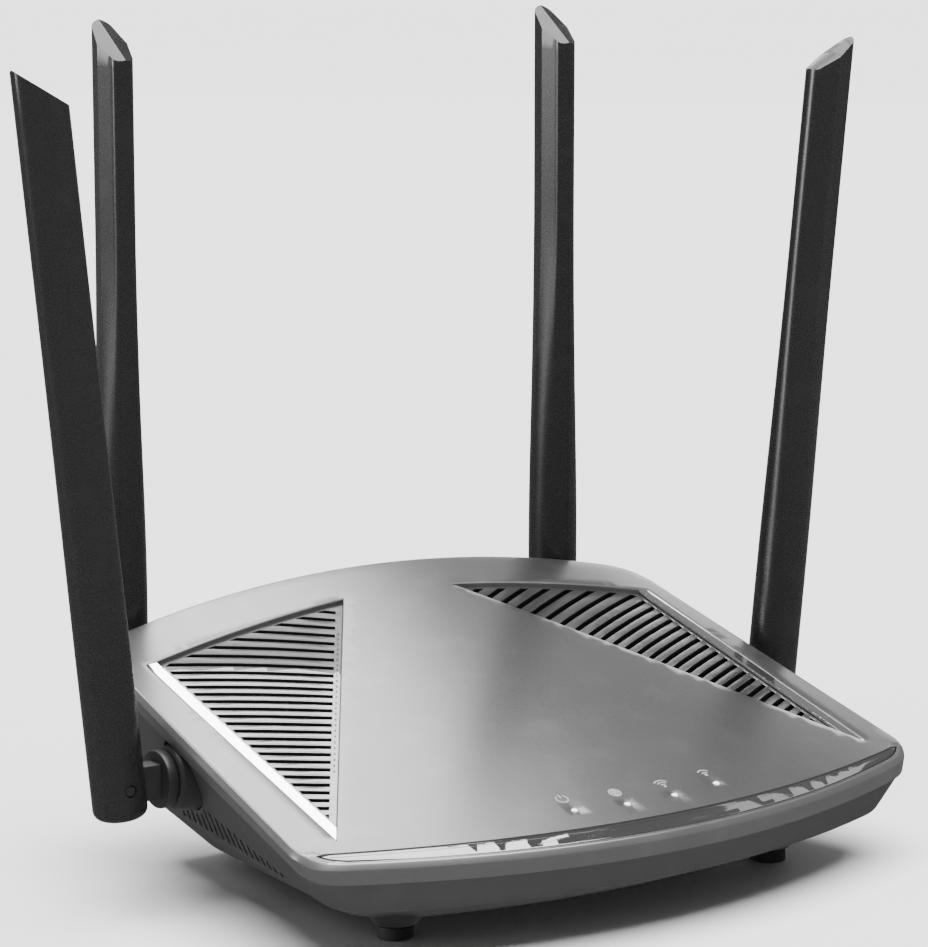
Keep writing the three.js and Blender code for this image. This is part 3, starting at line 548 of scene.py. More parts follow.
def inside(points: Array, outline: Array) -> Array:
    """Whether plan points lie inside a closed outline, by counting the edges crossed to the right.

    Args:
        points: Points, N by 2.
        outline: Corners of the outline, M by 2.

    Returns:
        N booleans.
    """
    ahead = np.roll(outline, -1, axis=0)
    x, y = points[:, :1], points[:, 1:2]
    spans = (outline[:, 1] > y) != (ahead[:, 1] > y)
    rise = ahead[:, 1] - outline[:, 1]
    rise = np.where(rise == 0, 1.0, rise)
    cross = outline[:, 0] + (y - outline[:, 1]) / rise * (ahead[:, 0] - outline[:, 0])
    return (np.sum(spans & (x < cross), axis=1) % 2) == 1


def outline_offset(outline: Array, distance: float) -> Array:
    """Move each edge of an anticlockwise outline inwards and meet its neighbours in new corners.

    Args:
        outline: Corners, N by 2.
        distance: How far the edges move in.

    Returns:
        The new corners.
    """
    before = outline - np.roll(outline, 1, axis=0)
    after = np.roll(outline, -1, axis=0) - outline
    before = before / np.linalg.norm(before, axis=1, keepdims=True)
    after = after / np.linalg.norm(after, axis=1, keepdims=True)
    left = np.stack([-before[:, 1], before[:, 0]], -1) + np.stack([-after[:, 1], after[:, 0]], -1)
    scale = 2.0 / np.maximum(np.sum(left * left, axis=1, keepdims=True), 0.4)
    return outline + left * scale * distance


def along_edges(outline: Array, pitch: float) -> Array:
    """Points along a closed outline with its corners kept, at most a pitch apart.

    Args:
        outline: Corners, N by 2.
        pitch: The greatest distance between points.

    Returns:
        The points.
    """
    ahead = np.roll(outline, -1, axis=0)
    counts = np.maximum(1, np.ceil(np.linalg.norm(ahead - outline, axis=1) / pitch).astype(int))
    runs = [a + (b - a) * np.linspace(0, 1, n, endpoint=False)[:, None]
            for a, b, n in zip(outline, ahead, counts)]
    return np.concatenate(runs)


def anticlockwise(outline: Array) -> Array:
    """The outline, turned round if it runs clockwise."""
    ahead = np.roll(outline, -1, axis=0)
    area = np.sum(outline[:, 0] * ahead[:, 1] - ahead[:, 0] * outline[:, 1])
    return outline if area > 0 else outline[::-1]


def circle_arc(radius: float, start: float, end: float, points: int) -> Array:
    """Points on an arc about the origin, from one angle to another in radians."""
    angle = np.linspace(start, end, points)
    return np.column_stack([radius * np.cos(angle), radius * np.sin(angle)])


class Surface:
    """Collects patches of one piece, in millimetres, and makes them one mesh."""

    def __init__(self) -> None:
        """Start with no patch."""
        self.points: list[Array] = []
        self.faces: list[list[int]] = []
        self.count = 0

    def add(self, points: Array, faces: list) -> None:
        """Add a patch.

        Args:
            points: Its points, N by 3.
            faces: Its faces, as lists of point numbers.
        """
        points = np.asarray(points, float).reshape(-1, 3)
        self.faces += [[self.count + int(i) for i in face] for face in faces]
        self.points.append(points)
        self.count += len(points)

    def loft(self, rings: Array, wrap: bool = True, caps: bool = False) -> None:
        """Add the surface through a stack of rings, R by N by 3.

        Args:
            rings: The rings. Seen from outside, they run anticlockwise and go up.
            wrap: Whether each ring closes on itself.
            caps: Whether the first and the last ring are filled.
        """
        rows, columns = rings.shape[:2]
        faces = grid_faces(rows, columns, wrap).tolist()
        if caps:
            faces.append(list(range(columns))[::-1])
            faces.append(list(range((rows - 1) * columns, rows * columns)))
        self.add(rings, faces)

    def build(self, name: str) -> bpy.types.Object:
        """Make the object, with patches joined where their points coincide.

        Args:
            name: The piece's name.

        Returns:
            The object, at the origin.
        """
        mesh = bpy.data.meshes.new(name)
        mesh.from_pydata((np.concatenate(self.points) * MM).tolist(), [], self.faces)
        mesh.validate()
        piece = bpy.data.objects.new(name, mesh)
        bpy.context.scene.collection.objects.link(piece)
        weld = piece.modifiers.new("weld", "WELD")
        weld.merge_threshold = MERGE_DISTANCE
        settle(piece)
        return piece


def solid(name: str, rings: Array) -> bpy.types.Object:
    """Make a stack of rings, filled at both ends, one object.

    Args:
        name: The piece's name.
        rings: The rings, R by N by 3.

    Returns:
        The object, at the origin.
    """
    surface = Surface()
    surface.loft(rings, caps=True)
    return surface.build(name)


def box_middle(name: str) -> Vector:
    """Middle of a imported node's box, in millimetres.

    Args:
        name: The node.

    Returns:
        The middle.
    """
    low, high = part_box(name)
    return (low + high) / 2 / MM


def settle(piece: bpy.types.Object) -> None:
    """Apply every modifier of a piece to its mesh.

    Args:
        piece: The piece.
    """
    graph = bpy.context.evaluated_depsgraph_get()
    mesh = bpy.data.meshes.new_from_object(piece.evaluated_get(graph))
    piece.modifiers.clear()
    piece.data = mesh


def smooth(piece: bpy.types.Object, angle: float = SHARP_ANGLE) -> None:
    """Shade a piece smooth, with edges sharper than an angle kept.

    Args:
        piece: The piece.
        angle: That angle, in radians.
    """
    piece.data.shade_smooth()
    piece.data.set_sharp_from_angle(angle=angle)


def combine(piece: bpy.types.Object, tool: bpy.types.Object, operation: str) -> None:
    """Cut a piece with a tool, or join the tool to it, and delete the tool.

    Args:
        piece: The piece.
        tool: The closed shape that cuts or joins.
        operation: DIFFERENCE, UNION or INTERSECT.
    """
    cut = piece.modifiers.new("cut", "BOOLEAN")
    cut.operation = operation
    cut.object = tool
    cut.solver = "EXACT"
    cut.use_self = True
    settle(piece)
    bpy.data.objects.remove(tool)


def round_edges(piece: bpy.types.Object, width: float, angle: float) -> None:
    """Round a piece's sharp edges in two steps.

    Args:
        piece: The piece.
        width: Width of the rounding, in millimetres.
        angle: Edges sharper than this many degrees are rounded.
    """
    bevel = piece.modifiers.new("round", "BEVEL")
    bevel.width = width * MM
    bevel.segments = 2
    bevel.limit_method = "ANGLE"
    bevel.angle_limit = math.radians(angle)
    bevel.use_clamp_overlap = True
    bevel.miter_outer = "MITER_ARC"
    settle(piece)


def turned_rings(profile: list[tuple[float, float]], sides: int) -> Array:
    """Rings of a turned shape about +Z: each profile point goes round at its radius and height.

    Args:
        profile: Points (radius, height), from the lowest cap to the highest.
        sides: Points round a ring.

    Returns:
        Rings, R by N by 3.
    """
    radius, height = np.array(profile, float).T
    angle = np.arange(sides) * 2 * np.pi / sides
    x = radius[:, None] * np.cos(angle)
    y = radius[:, None] * np.sin(angle)
    return np.stack([x, y, np.broadcast_to(height[:, None], x.shape)], -1)


def rod_rings(radius: float, half: float) -> Array:
    """Rings of a plain rod about +Y, as long each way from the origin."""
    return laid_across(turned_rings([(radius, -half), (radius, half)], ROD_SIDES))


def laid_across(rings: Array) -> Array:
    """Rings turned about +Z, laid along +Y instead."""
    return np.stack([rings[..., 1], rings[..., 2], rings[..., 0]], -1)


def block_rings(low: tuple, high: tuple) -> Array:
    """Two rings of a box between its lowest and highest corners."""
    (x0, y0, z0), (x1, y1, z1) = low, high
    plan = [(x0, y0), (x1, y0), (x1, y1), (x0, y1)]
    return np.array([[(x, y, z) for x, y in plan] for z in (z0, z1)], float)


def rounded_profile(points: list[tuple[float, float]], radius: float, steps: int = 4) -> list:
    """Round the inner corners of a profile with short arcs.

    Each corner becomes a quadratic curve from a radius before it to a radius after it.

    Args:
        points: Profile points; the first and the last stay as they are.
        radius: How far from the corner each curve starts.
        steps: Points on each curve.

    Returns:
        The rounded profile.
    """
    line = np.array(points, float)
    before, corner, after = line[:-2], line[1:-1], line[2:]
    back = before - corner
    ahead = after - corner
    back_length = np.linalg.norm(back, axis=1, keepdims=True)
    ahead_length = np.linalg.norm(ahead, axis=1, keepdims=True)
    reach = np.minimum(radius, 0.45 * np.minimum(back_length, ahead_length))
    start = (corner + back / back_length * reach)[:, None]
    end = (corner + ahead / ahead_length * reach)[:, None]
    t = np.linspace(0, 1, steps)[None, :, None]
    curve = (1 - t) ** 2 * start + 2 * t * (1 - t) * corner[:, None] + t ** 2 * end
    return [tuple(line[0]), *map(tuple, curve.reshape(-1, 2)), tuple(line[-1])]


# ---------------------------------------------------------------------------- housing form


@dataclass(frozen=True)
class Form:
    """Outer form of the housing: heights and edges as functions of x and y."""

    front_y: float = -79.1
    depth: float = 141.4
    half_width: float = 96.1
    taper: float = 0.0585
    front_bow: float = 2.55e-3
    rear_bow: float = 0.6e-3
    corner_front: float = 9.0
    corner_rear: float = 10.0
    corner_slant: float = 0.75
    front_height: float = 29.6
    rear_height: float = 70.4
    rear_crown: float = 1.34e-3
    facet_width: float = 5.5
    facet_bow: float = 2.27e-3
    facet_drop: float = 1.1
    facet_run: float = 2.5
    bevel_out: float = 0.9
    bevel_down: float = 1.3
    band_height: float = 3.4
    band_lean_side: float = 1.2
    band_lean_rear: float = 1.7
    skirt_shade: float = 6.2
    gap: float = 0.3
    base_step: float = 0.45
    floor_z: float = 6.5
    crease_z: float = 14.5
    crease_rise: float = 0.062
    crease_insets: tuple[float, float, float, float] = (1.9, 9.2, 5.0, 2.0)
    floor_insets: tuple[float, float, float, float] = (22.0, 23.5, 9.3, 8.0)
    corner_lead: float = 3.0
    edge_points: int = 48
    side_points: int = 36
    corner_points: int = 14

    @property
    def rear_y(self) -> float:
        """Rear edge on the centre line."""
        return self.front_y + self.depth

    @property
    def corner_y(self) -> float:
        """Where the straight sides are widest."""
        return self.front_y + self.front_bow * self.half_width ** 2 + self.corner_lead

    def front_edge(self, x: Array) -> Array:
        """The front edge bows back with the square of x."""
        return self.front_y + self.front_bow * x * x

    def rear_edge(self, x: Array) -> Array:
        """The rear edge bows forwards with the square of x."""
        return self.rear_y - self.rear_bow * x * x

    def facet_edge(self, x: Array) -> Array:
        """Where the front facet meets the top."""
        return self.front_y + self.facet_width + self.facet_bow * x * x

    def side_x(self, y: Array) -> Array:
        """Each side closes in steadily towards the rear."""
        return self.half_width - self.taper * (y - self.corner_y)

    def top_z(self, x: Array, y: Array) -> Array:
        """Height of the top: straight from the facet's edge to the crowned rear edge."""
        rear = self.rear_height - self.rear_crown * x * x
        along = (y - self.facet_edge(x)) / (self.rear_edge(x) - self.facet_edge(x))
        return self.front_height + (rear - self.front_height) * along

    def lip_z(self, x: Array, y: Array) -> Array:
        """The top, lowered where the front facet slopes down."""
        share = np.clip((self.facet_edge(x) - y) / self.facet_run, 0, 1)
        return self.top_z(x, y) - self.facet_drop * share

    def crease(self, y: Array) -> Array:
        """Height of the undercut's upper edge, which rises towards the rear."""
        return self.crease_z + self.crease_rise * np.maximum(0, y - self.corner_y)

    def outline(self, front: float, side: float, rear: float, corner: float = 0.0) -> Array:
        """Plan outline, anticlockwise from the middle of the front.

        The front and rear follow their arcs, the sides are straight, and each corner is a
        quadratic curve from one edge to the next.

        Args:
            front: How far the front edge moves in.
            side: How far the sides move in.
            rear: How far the rear edge moves in.
            corner: Extra length of the corners.

        Returns:
            Points, N by 2.
        """
        front_length = self.corner_front + corner
        rear_length = self.corner_rear + corner
        tip_x = self.side_x(self.corner_y - self.corner_lead) - side
        tip = np.array([tip_x, self.front_edge(tip_x) + front])
        aft_x = self.side_x(self.rear_edge(self.side_x(self.rear_y) - side) - rear) - side
        aft = np.array([aft_x, self.rear_edge(aft_x) - rear])
        x = np.linspace(0, tip_x - front_length, self.edge_points)
        fore = np.stack([x, self.front_edge(x) + front], -1)
        start_y = tip[1] + front_length * self.corner_slant
        end_y = aft[1] - rear_length
        y = np.linspace(start_y, end_y, self.side_points)
        flank = np.stack([self.side_x(y) - side, y], -1)
        x = np.linspace(aft_x - rear_length, 0, self.edge_points)
        back = np.stack([x, self.rear_edge(x) - rear], -1)
        t = np.linspace(0, 1, self.corner_points)[1:-1, None]
        bends = [(1 - t) ** 2 * a + 2 * t * (1 - t) * b + t * t * c
                 for a, b, c in ((fore[-1], tip, flank[0]), (flank[-1], aft, back[0]))]
        half = np.concatenate([fore, bends[0], flank, bends[1], back])
        return np.concatenate([half, half[-2:0:-1] * [-1, 1]])

    def lip_ring(self, inset: float, drop: float) -> Array:
        """Ring near the top edge: an even inset, and a drop below the lip.

        Args:
            inset: How far in from the edge; below 0 is out.
            drop: How far below the lip.

        Returns:
            Points, N by 3.
        """
        plan = self.outline(inset, inset, inset)
        return np.column_stack([plan, self.lip_z(*plan.T) - drop])

    def wall_rings(self, inset: float) -> list[Array]:
        """The wall's four corner lines, from the bevel down: bevel, band, crease and floor.

        Args:
            inset: How far the whole wall moves in.

        Returns:
            Four rings, each N by 3.
        """
        out = inset - self.bevel_out
        bevel = self.lip_ring(out, self.bevel_down)
        plan = self.outline(out, out + self.band_lean_side, out + self.band_lean_rear)
        band = np.column_stack([plan, self.lip_z(*plan.T) - self.bevel_down - self.band_height])
        front, side, rear, corner = self.crease_insets
        plan = self.outline(front + inset, side + inset, rear + inset, corner)
        crease = np.column_stack([plan, self.crease(plan[:, 1])])
        front, side, rear, corner = self.floor_insets
        plan = self.outline(front + inset, side + inset, rear + inset, corner)
        floor = np.column_stack([plan, np.full(len(plan), self.floor_z)])
        return [bevel, band, crease, floor]

    def parting_ring(self, inset: float, lift: float) -> Array:
        """Where the wall meets the parting surface: found along the straight lines of the wall.

        Args:
            inset: How far the whole wall moves in.
            lift: Height above the parting surface.

        Returns:
            Points, N by 3.
        """
        _, band, crease, _ = self.wall_rings(inset)
        point = band.copy()
        for _ in range(4):
            height = self.top_z(point[:, 0], point[:, 1]) - self.skirt_shade + lift
            share = (band[:, 2] - height) / (band[:, 2] - crease[:, 2])
            point = band + (crease - band) * share[:, None]
        return point


FORM = Form()


def between(first: Array, second: Array, share: float) -> Array:
    """Ring part of the way from one ring to another."""
    return first + (second - first) * share


def softened(rings: list[Array], share: float = 0.04) -> list[Array]:
    """Round the corners of a stack of rings: each inner ring becomes three close ones.

    Args:
        rings: The stack.
        share: How far towards its neighbours the two outer ones lie.

    Returns:
        The longer stack.
    """
    made = [rings[0]]
    for before, ring, after in zip(rings, rings[1:], rings[2:]):
        first, last = between(ring, before, share), between(ring, after, share)
        made += [first, ring * 0.6 + (first + last) * 0.2, last]
    return [*made, rings[-1]]


@dataclass(frozen=True)
class Pocket:
    """Triangular recess in the top that holds one grille and its accent strip.

    Its corners are a (rear inner), c (front outer) and b (rear outer), on the right side.
    """

    sign: int
    inner_x: float = 17.2
    inner_inset: float = 14.9
    outer_inset: float = 7.4
    rear_inset: float = 20.7
    front_inset: float = 11.4
    front_setback: float = 5.015

    def corners(self) -> Array:
        """Corners a, c and b, anticlockwise on the right side."""
        rear = FORM.rear_y - self.rear_inset
        front = FORM.facet_edge(FORM.half_width - self.front_inset) + self.front_setback
        return np.array([[self.inner_x, FORM.rear_y - self.inner_inset],
                         [FORM.side_x(front) - self.front_inset, front],
                         [FORM.side_x(rear) - self.outer_inset, rear]])

    def outline(self, inner: float, outside: float, rear: float) -> Array:
        """The triangle with its inner, outer and rear edges moved in by their own distances.

        Each corner is where two moved edges cross.

        Args:
            inner: Distance for the edge a to c.
            outside: Distance for the edge c to b.
            rear: Distance for the edge b to a.

        Returns:
            Three corners.
        """
        start = self.corners()
        step = np.roll(start, -1, axis=0) - start
        step = step / np.linalg.norm(step, axis=1, keepdims=True)
        normal = np.stack([-step[:, 1], step[:, 0]], -1)
        moved = start + normal * np.array([[inner], [outside], [rear]])
        before, direction = np.roll(moved, 1, axis=0), np.roll(step, 1, axis=0)
        offset = moved - before
        cross = direction[:, 0] * step[:, 1] - direction[:, 1] * step[:, 0]
        share = (offset[:, 0] * step[:, 1] - offset[:, 1] * step[:, 0]) / cross
        return before + direction * share[:, None]

    def place(self, plan: Array) -> Array:
        """Turn right-side plan points into this side's, still anticlockwise."""
        return plan if self.sign > 0 else (plan * [-1, 1])[::-1]


@dataclass
class Sheet:
    """Part of the top made as a height field with holes and steps.

    The plan is triangulated with every outline kept as edges. A point's height is the top's
    height less the drops of the steps that it lies inside. A hole's softened edge goes down in
    edge_steps: where each step is and how far it drops, as shares of the edge's width.
    """

    boundary: Array
    pitch: float = 3.6
    base_drop: float = 0.0
    edge_steps: tuple = ((0.2, 0.15), (0.7, 0.65))
    loops: list[Array] = field(default_factory=list)
    steps: list[tuple[Array, float]] = field(default_factory=list)
    holes: list[Array] = field(default_factory=list)

    def step(self, outline: Array, run: float, drop: float) -> None:
        """Lower the area inside an outline.

        Args:
            outline: The outline, anticlockwise.
            run: Width of the wall between the two levels.
            drop: Height of the wall.
        """
        self.loops += [outline, outline_offset(outline, run)]
        self.steps.append((outline_offset(outline, run / 2), drop))

    def hole(self, outline: Array, round_width: float) -> Array:
        """Cut a hole with a softened edge.

        Args:
            outline: Its outline, anticlockwise.
            round_width: Width and depth of the softened edge.

        Returns:
            The hole's outline below the softened edge.
        """
        middle = outline_offset(outline, round_width * 0.4)
        lower = outline_offset(outline, round_width)
        self.loops += [outline, middle, lower]
        self.steps += [(outline_offset(outline, round_width * at), round_width * drop)
                       for at, drop in self.edge_steps]
        self.holes.append(outline_offset(outline, round_width * 1.02))
        return lower

    def height(self, plan: Array) -> Array:
        """Heights of plan points."""
        z = FORM.lip_z(plan[:, 0], plan[:, 1]) - self.base_drop
        for outline, drop in self.steps:
            z = z - drop * inside(plan, outline)
        return z

    def fill(self, surface: Surface) -> None:
        """Triangulate the sheet and add it.

        Args:
            surface: Where it goes.
        """
        low, high = self.boundary.min(0), self.boundary.max(0)
        count = np.ceil((high - low) / self.pitch).astype(int)
        columns, rows = (np.linspace(a, b, n) for a, b, n in zip(low, high, count))
        grid = np.stack(np.meshgrid(columns, rows), -1).reshape(-1, 2)
        grid = grid[inside(grid, outline_offset(self.boundary, self.pitch * 0.3))]
        for hole in self.holes:
            grid = grid[~inside(grid, outline_offset(hole, -0.8))]
        chains = [self.boundary, *self.loops]
        starts = np.cumsum([0, *[len(c) for c in chains]])
        edges = [np.stack([np.arange(len(c)), (np.arange(len(c)) + 1) % len(c)], -1) + s
                 for c, s in zip(chains, starts)]
        points = np.concatenate([*chains, grid])
        vectors = [Vector(p) for p in points.tolist()]
        found = delaunay_2d_cdt(vectors, np.concatenate(edges).tolist(), [], 0, 1e-5)
        plan = np.array([tuple(v) for v in found[0]])
        faces = np.array([tuple(f) for f in found[2] if len(f) == 3])
        centre = plan[faces].mean(axis=1)
        keep = inside(centre, self.boundary)
        for hole in self.holes:
            keep &= ~inside(centre, hole)
        surface.add(np.column_stack([plan, self.height(plan)]), faces[keep].tolist())

    def well(self, surface: Surface, outline: Array, round_width: float, depth: float) -> None:
        """Cut a hole with a softened edge and line it with a wall.

        The wall goes down from the hole's lower outline, below the two steps of its edge.

        Args:
            surface: Where the wall goes.
            outline: The hole's outline, anticlockwise.
            round_width: Width and depth of the softened edge.
            depth: Height of the wall.
        """
        lower = self.hole(outline, round_width)
        drop = round_width * sum(share for _, share in self.edge_steps)
        z = FORM.lip_z(*lower.T) - self.base_drop - drop
        surface.loft(np.stack([np.column_stack([lower, z]), np.column_stack([lower, z - depth])]))


def solidify(piece: bpy.types.Object, thickness: float) -> None:
    """Give a sheet a wall behind its surface.

    Args:
        piece: The sheet, with its faces outwards.
        thickness: The wall, in millimetres.
    """
    wall = piece.modifiers.new("wall", "SOLIDIFY")
    wall.thickness = thickness * MM
    wall.offset = -1
    wall.use_even_offset = False
    settle(piece)


# ---------------------------------------------------------------------------- the router's parts


@dataclass
class Cover:
    """Top cover: the sloping top with its two pockets, the rebate of the trim, and the skirt."""

    wall: float = 1.4
    rebate: float = 1.5
    rim: float = 0.45
    lip: float = 0.6
    pocket_depth: float = 2.9
    pocket_pitch: float = 3.0
    pocket_round: float = 0.35
    pipe_radius: float = 1.15
    pipe_round: float = 0.12
    pipe_depth: float = 1.0
    rim_edge: tuple = ((0.3, 0.03), (0.1, 0.1), (-0.05, 0.24), (-0.78, 1.1), (-0.87, 1.26))
    bevel_at: tuple[float, float] = (-0.9, 1.45)
    # A face whose normal's height is below this gets the darker copy of the cover's plastic, which paints
    # shade on it.
    wall_shade_upright: float = 0.8
    trim_round: float = 0.22
    trim_side: float = 1.1
    trim_thickness: float = 0.8

    def trim_outline(self, clear: float) -> Array:
        """Plan of the front trim: in front of the facet's edge and behind the rim.

        Args:
            clear: Clearance all round.

        Returns:
            The outline, anticlockwise.
        """
        inset = self.lip + self.rim + clear
        rim = FORM.outline(inset, inset, inset)
        reach = rim[rim[:, 1] < FORM.facet_edge(rim[:, 0]) - clear - 0.05]
        reach = reach[np.argsort(reach[:, 0])]
        x = np.linspace(reach[-1, 0], reach[0, 0], 80)[1:-1]
        return np.concatenate([reach, np.column_stack([x, FORM.facet_edge(x) - clear])])

    def pipes(self) -> Array:
        """Places of the four indicators, from their packed light pipes."""
        boxes = [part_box(f"light_pipe_{i}") for i in range(1, 5)]
        return np.array([[(a.x + b.x) / 2, (a.y + b.y) / 2, b.z] for a, b in boxes]) / MM

    def make(self) -> list[bpy.types.Object]:
        """Build the cover and its trim.

        Returns:
            The two pieces.
        """
        surface = Surface()
        sheet = Sheet(FORM.outline(self.lip, self.lip, self.lip))
        sheet.step(self.trim_outline(0), 0.1, self.rebate)
        for sign in (-1, 1):
            pocket = Pocket(sign)
            outline = pocket.place(along_edges(pocket.outline(0, 0, 0), self.pocket_pitch))
            sheet.well(surface, outline, self.pocket_round, self.pocket_depth)
        circle = circle_arc(self.pipe_radius, 0, 2 * np.pi, 21)[:-1]
        for x, y, _ in self.pipes():
            ring = circle + [x, y]
            sheet.well(surface, ring, self.pipe_round, self.pipe_depth)
        sheet.fill(surface)
        rings = [FORM.lip_ring(inset, drop) for inset, drop in ((self.lip, 0), *self.rim_edge)]
        _, band, _, _ = FORM.wall_rings(0)
        parting = FORM.parting_ring(0, FORM.gap / 2)
        bevel = FORM.lip_ring(*self.bevel_at)
        rings += [bevel, between(bevel, band, 0.5), *softened([bevel, band, parting], 0.12)[1:-1]]
        inward = FORM.parting_ring(0.25, FORM.gap / 2)
        rings += [between(parting, band, 0.12), inward]
        surface.loft(np.stack(rings[::-1]))
        piece = surface.build("cover_shell")
        solidify(piece, self.wall)
        smooth(piece)
        PAINT.dress(piece, Finish.COVER)
        # Faces that lean past the upright limit (the band, the skirt, and the pocket and pipe walls) get
        # the darker copy of the cover's plastic: painted shade.
        PAINT.paint_wall_shade(piece, Finish.SKIRT_SHADE, self.wall_shade_upright)
        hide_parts("top_cover")
        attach(piece, "housing")
        return [piece, self.trim()]

    def trim(self) -> bpy.types.Object:
        """Build the glossy trim: a strip on the front facet with softened edges.

        Returns:
            The piece.
        """
        outline = self.trim_outline(FORM.gap)
        inner = outline_offset(outline, self.trim_round)
        surface = Surface()
        sheet = Sheet(inner, pitch=1.6)
        sheet.fill(surface)
        middle = outline_offset(outline, 0.07)
        levels = ((outline, self.trim_side), (outline, self.trim_round), (middle, 0.07), (inner, 0.0))
        surface.loft(np.stack([np.column_stack([plan, FORM.lip_z(*plan.T) - drop])
                               for plan, drop in levels]))
        piece = surface.build("front_trim_strip")
        solidify(piece, self.trim_thickness)
        smooth(piece)
        PAINT.dress(piece, Finish.TRIM)
        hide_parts("front_trim")
        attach(piece, "housing")
        return piece


@dataclass
class Base:
    """Base shell: the lower wall, its undercut, the floor with its bosses, vents and openings."""

    wall: float = 2.0
    vent_count: int = 18
    vent_pitch: float = 3.1
    vent_width: float = 1.25
    vent_lean: float = 0.07
    vent_tallest: float = 7.2
    vent_shortest: float = 1.6
    vent_peak: float = 0.32
    vent_setback: float = 50.0
    vent_rise: float = 0.7
    vent_clear: float = 10.5
    vent_reach: float = 10.0
    boss_radius: float = 7.2
    boss_flare: float = 1.6
    boss_bottom: float = 3.7
    boss_shoulder: float = 6.7
    boss_top: float = 7.6
    socket_hole: float = 9.5
    socket_hole_from: float = -27.5
    socket_hole_to: float = 5.0
    screw_hole: float = 3.2
    screw_hole_top: float = 9.8
    inner_top: float = 6.0
    crease_thickening: float = 0.8
    panel_reach: float = 20.0

    def vents(self) -> Surface:
        """Leaning blocks with round ends across the whole base, one for each pair of vents.

        Their heights rise in a straight line to the tallest and fall again towards the rear.
        """
        pin = box_middle("hinge_pin_side_right")
        share = np.arange(self.vent_count) / (self.vent_count - 1)
        rise = np.where(share < 1 - self.vent_peak, share / (1 - self.vent_peak),
                        (1 - share) / self.vent_peak)
        y = FORM.front_y + self.vent_setback + self.vent_pitch * np.arange(self.vent_count)
        away = np.minimum(np.abs(y - pin.y), self.vent_clear)
        ceiling = pin.z - np.sqrt(self.vent_clear ** 2 - away ** 2)
        bottom = np.minimum(FORM.crease(y) + self.vent_rise, ceiling - self.vent_shortest)
        height = self.vent_shortest + (self.vent_tallest - self.vent_shortest) * rise
        height = np.minimum(height, ceiling - bottom)
        surface = Surface()
        reach = FORM.half_width + self.vent_reach
        radius = self.vent_width / 2
        arc = circle_arc(radius, 0, np.pi, 7)
        for place, start, tall in zip(y, bottom, height):
            plan = np.concatenate([arc + [0, tall - radius], -arc + [0, radius]])
            plan[:, 0] += self.vent_lean * plan[:, 1]
            section = np.column_stack([place + plan[:, 0], start + plan[:, 1]])
            rings = np.stack([np.column_stack([np.full(len(section), x), section])
                              for x in (-reach, reach)])
            surface.loft(rings, caps=True)
        return surface

    def make(self) -> bpy.types.Object:
        """Build the base.

        The wall is a stack of rings from the parting line to the floor. A smaller stack is cut
        out of it, the bosses are joined, and the openings are cut.

        Returns:
            The piece.
        """
        step = FORM.base_step
        _, _, crease, floor = FORM.wall_rings(step)
        top = FORM.parting_ring(step, -FORM.gap / 2)
        inner_top = FORM.parting_ring(step + 0.3, -FORM.gap / 2 + 0.02)
        edge = between(top, crease, 0.03)
        stack = [inner_top, *softened([top, edge, crease, floor], 0.05)]
        piece = solid("base_tray", np.stack(stack[::-1]))
        _, _, crease, floor = FORM.wall_rings(step + self.wall)
        top = FORM.parting_ring(step + self.wall, self.inner_top)
        hollow = np.stack([floor + [0, 0, self.wall], crease + [0, 0, self.crease_thickening],
                           FORM.parting_ring(step + self.wall, 0), top])
        combine(piece, solid("hollow", hollow), "DIFFERENCE")
        bosses = Surface()
        profile = rounded_profile([(AXIS_RADIUS, self.boss_bottom),
                                   (self.boss_radius - self.boss_flare, self.boss_bottom),
                                   (self.boss_radius, self.boss_shoulder),
                                   (self.boss_radius, self.boss_top), (AXIS_RADIUS, self.boss_top)], 0.6)
        for name in FEET:
            middle = box_middle(f"foot_{name}")
            rings = turned_rings(profile, 48) + [middle.x, middle.y, 0]
            bosses.loft(rings, caps=True)
        combine(piece, bosses.build("bosses"), "UNION")
        combine(piece, self.vents().build("vents"), "DIFFERENCE")
        combine(piece, self.openings().build("openings"), "DIFFERENCE")
        smooth(piece, math.radians(24))
        PAINT.dress(piece, Finish.BASE)
        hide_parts("base_shell")
        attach(piece, "housing")
        return piece

    def openings(self) -> Surface:
        """The panel's opening, the antenna sockets' holes and the screw holes."""
        surface = Surface()
        low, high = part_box("rear_panel")
        low, high = low / MM, high / MM
        gap = FORM.gap
        surface.loft(block_rings((low.x - gap, low.y - gap, low.z - gap),
                                 (high.x + gap, FORM.rear_y + self.panel_reach, high.z + gap)),
                     caps=True)
        for antenna in Antenna.all():
            rings = turned_rings([(self.socket_hole, self.socket_hole_from),
                                  (self.socket_hole, self.socket_hole_to)], 64)
            surface.loft(antenna.along(rings), caps=True)
        for i in range(1, 5):
            middle = box_middle(f"housing_screw_{i}")
            rings = turned_rings([(self.screw_hole, 0.0), (self.screw_hole, self.screw_hole_top)],
                                 ROD_SIDES) + [middle.x, middle.y, 0]
            surface.loft(rings, caps=True)
        return surface


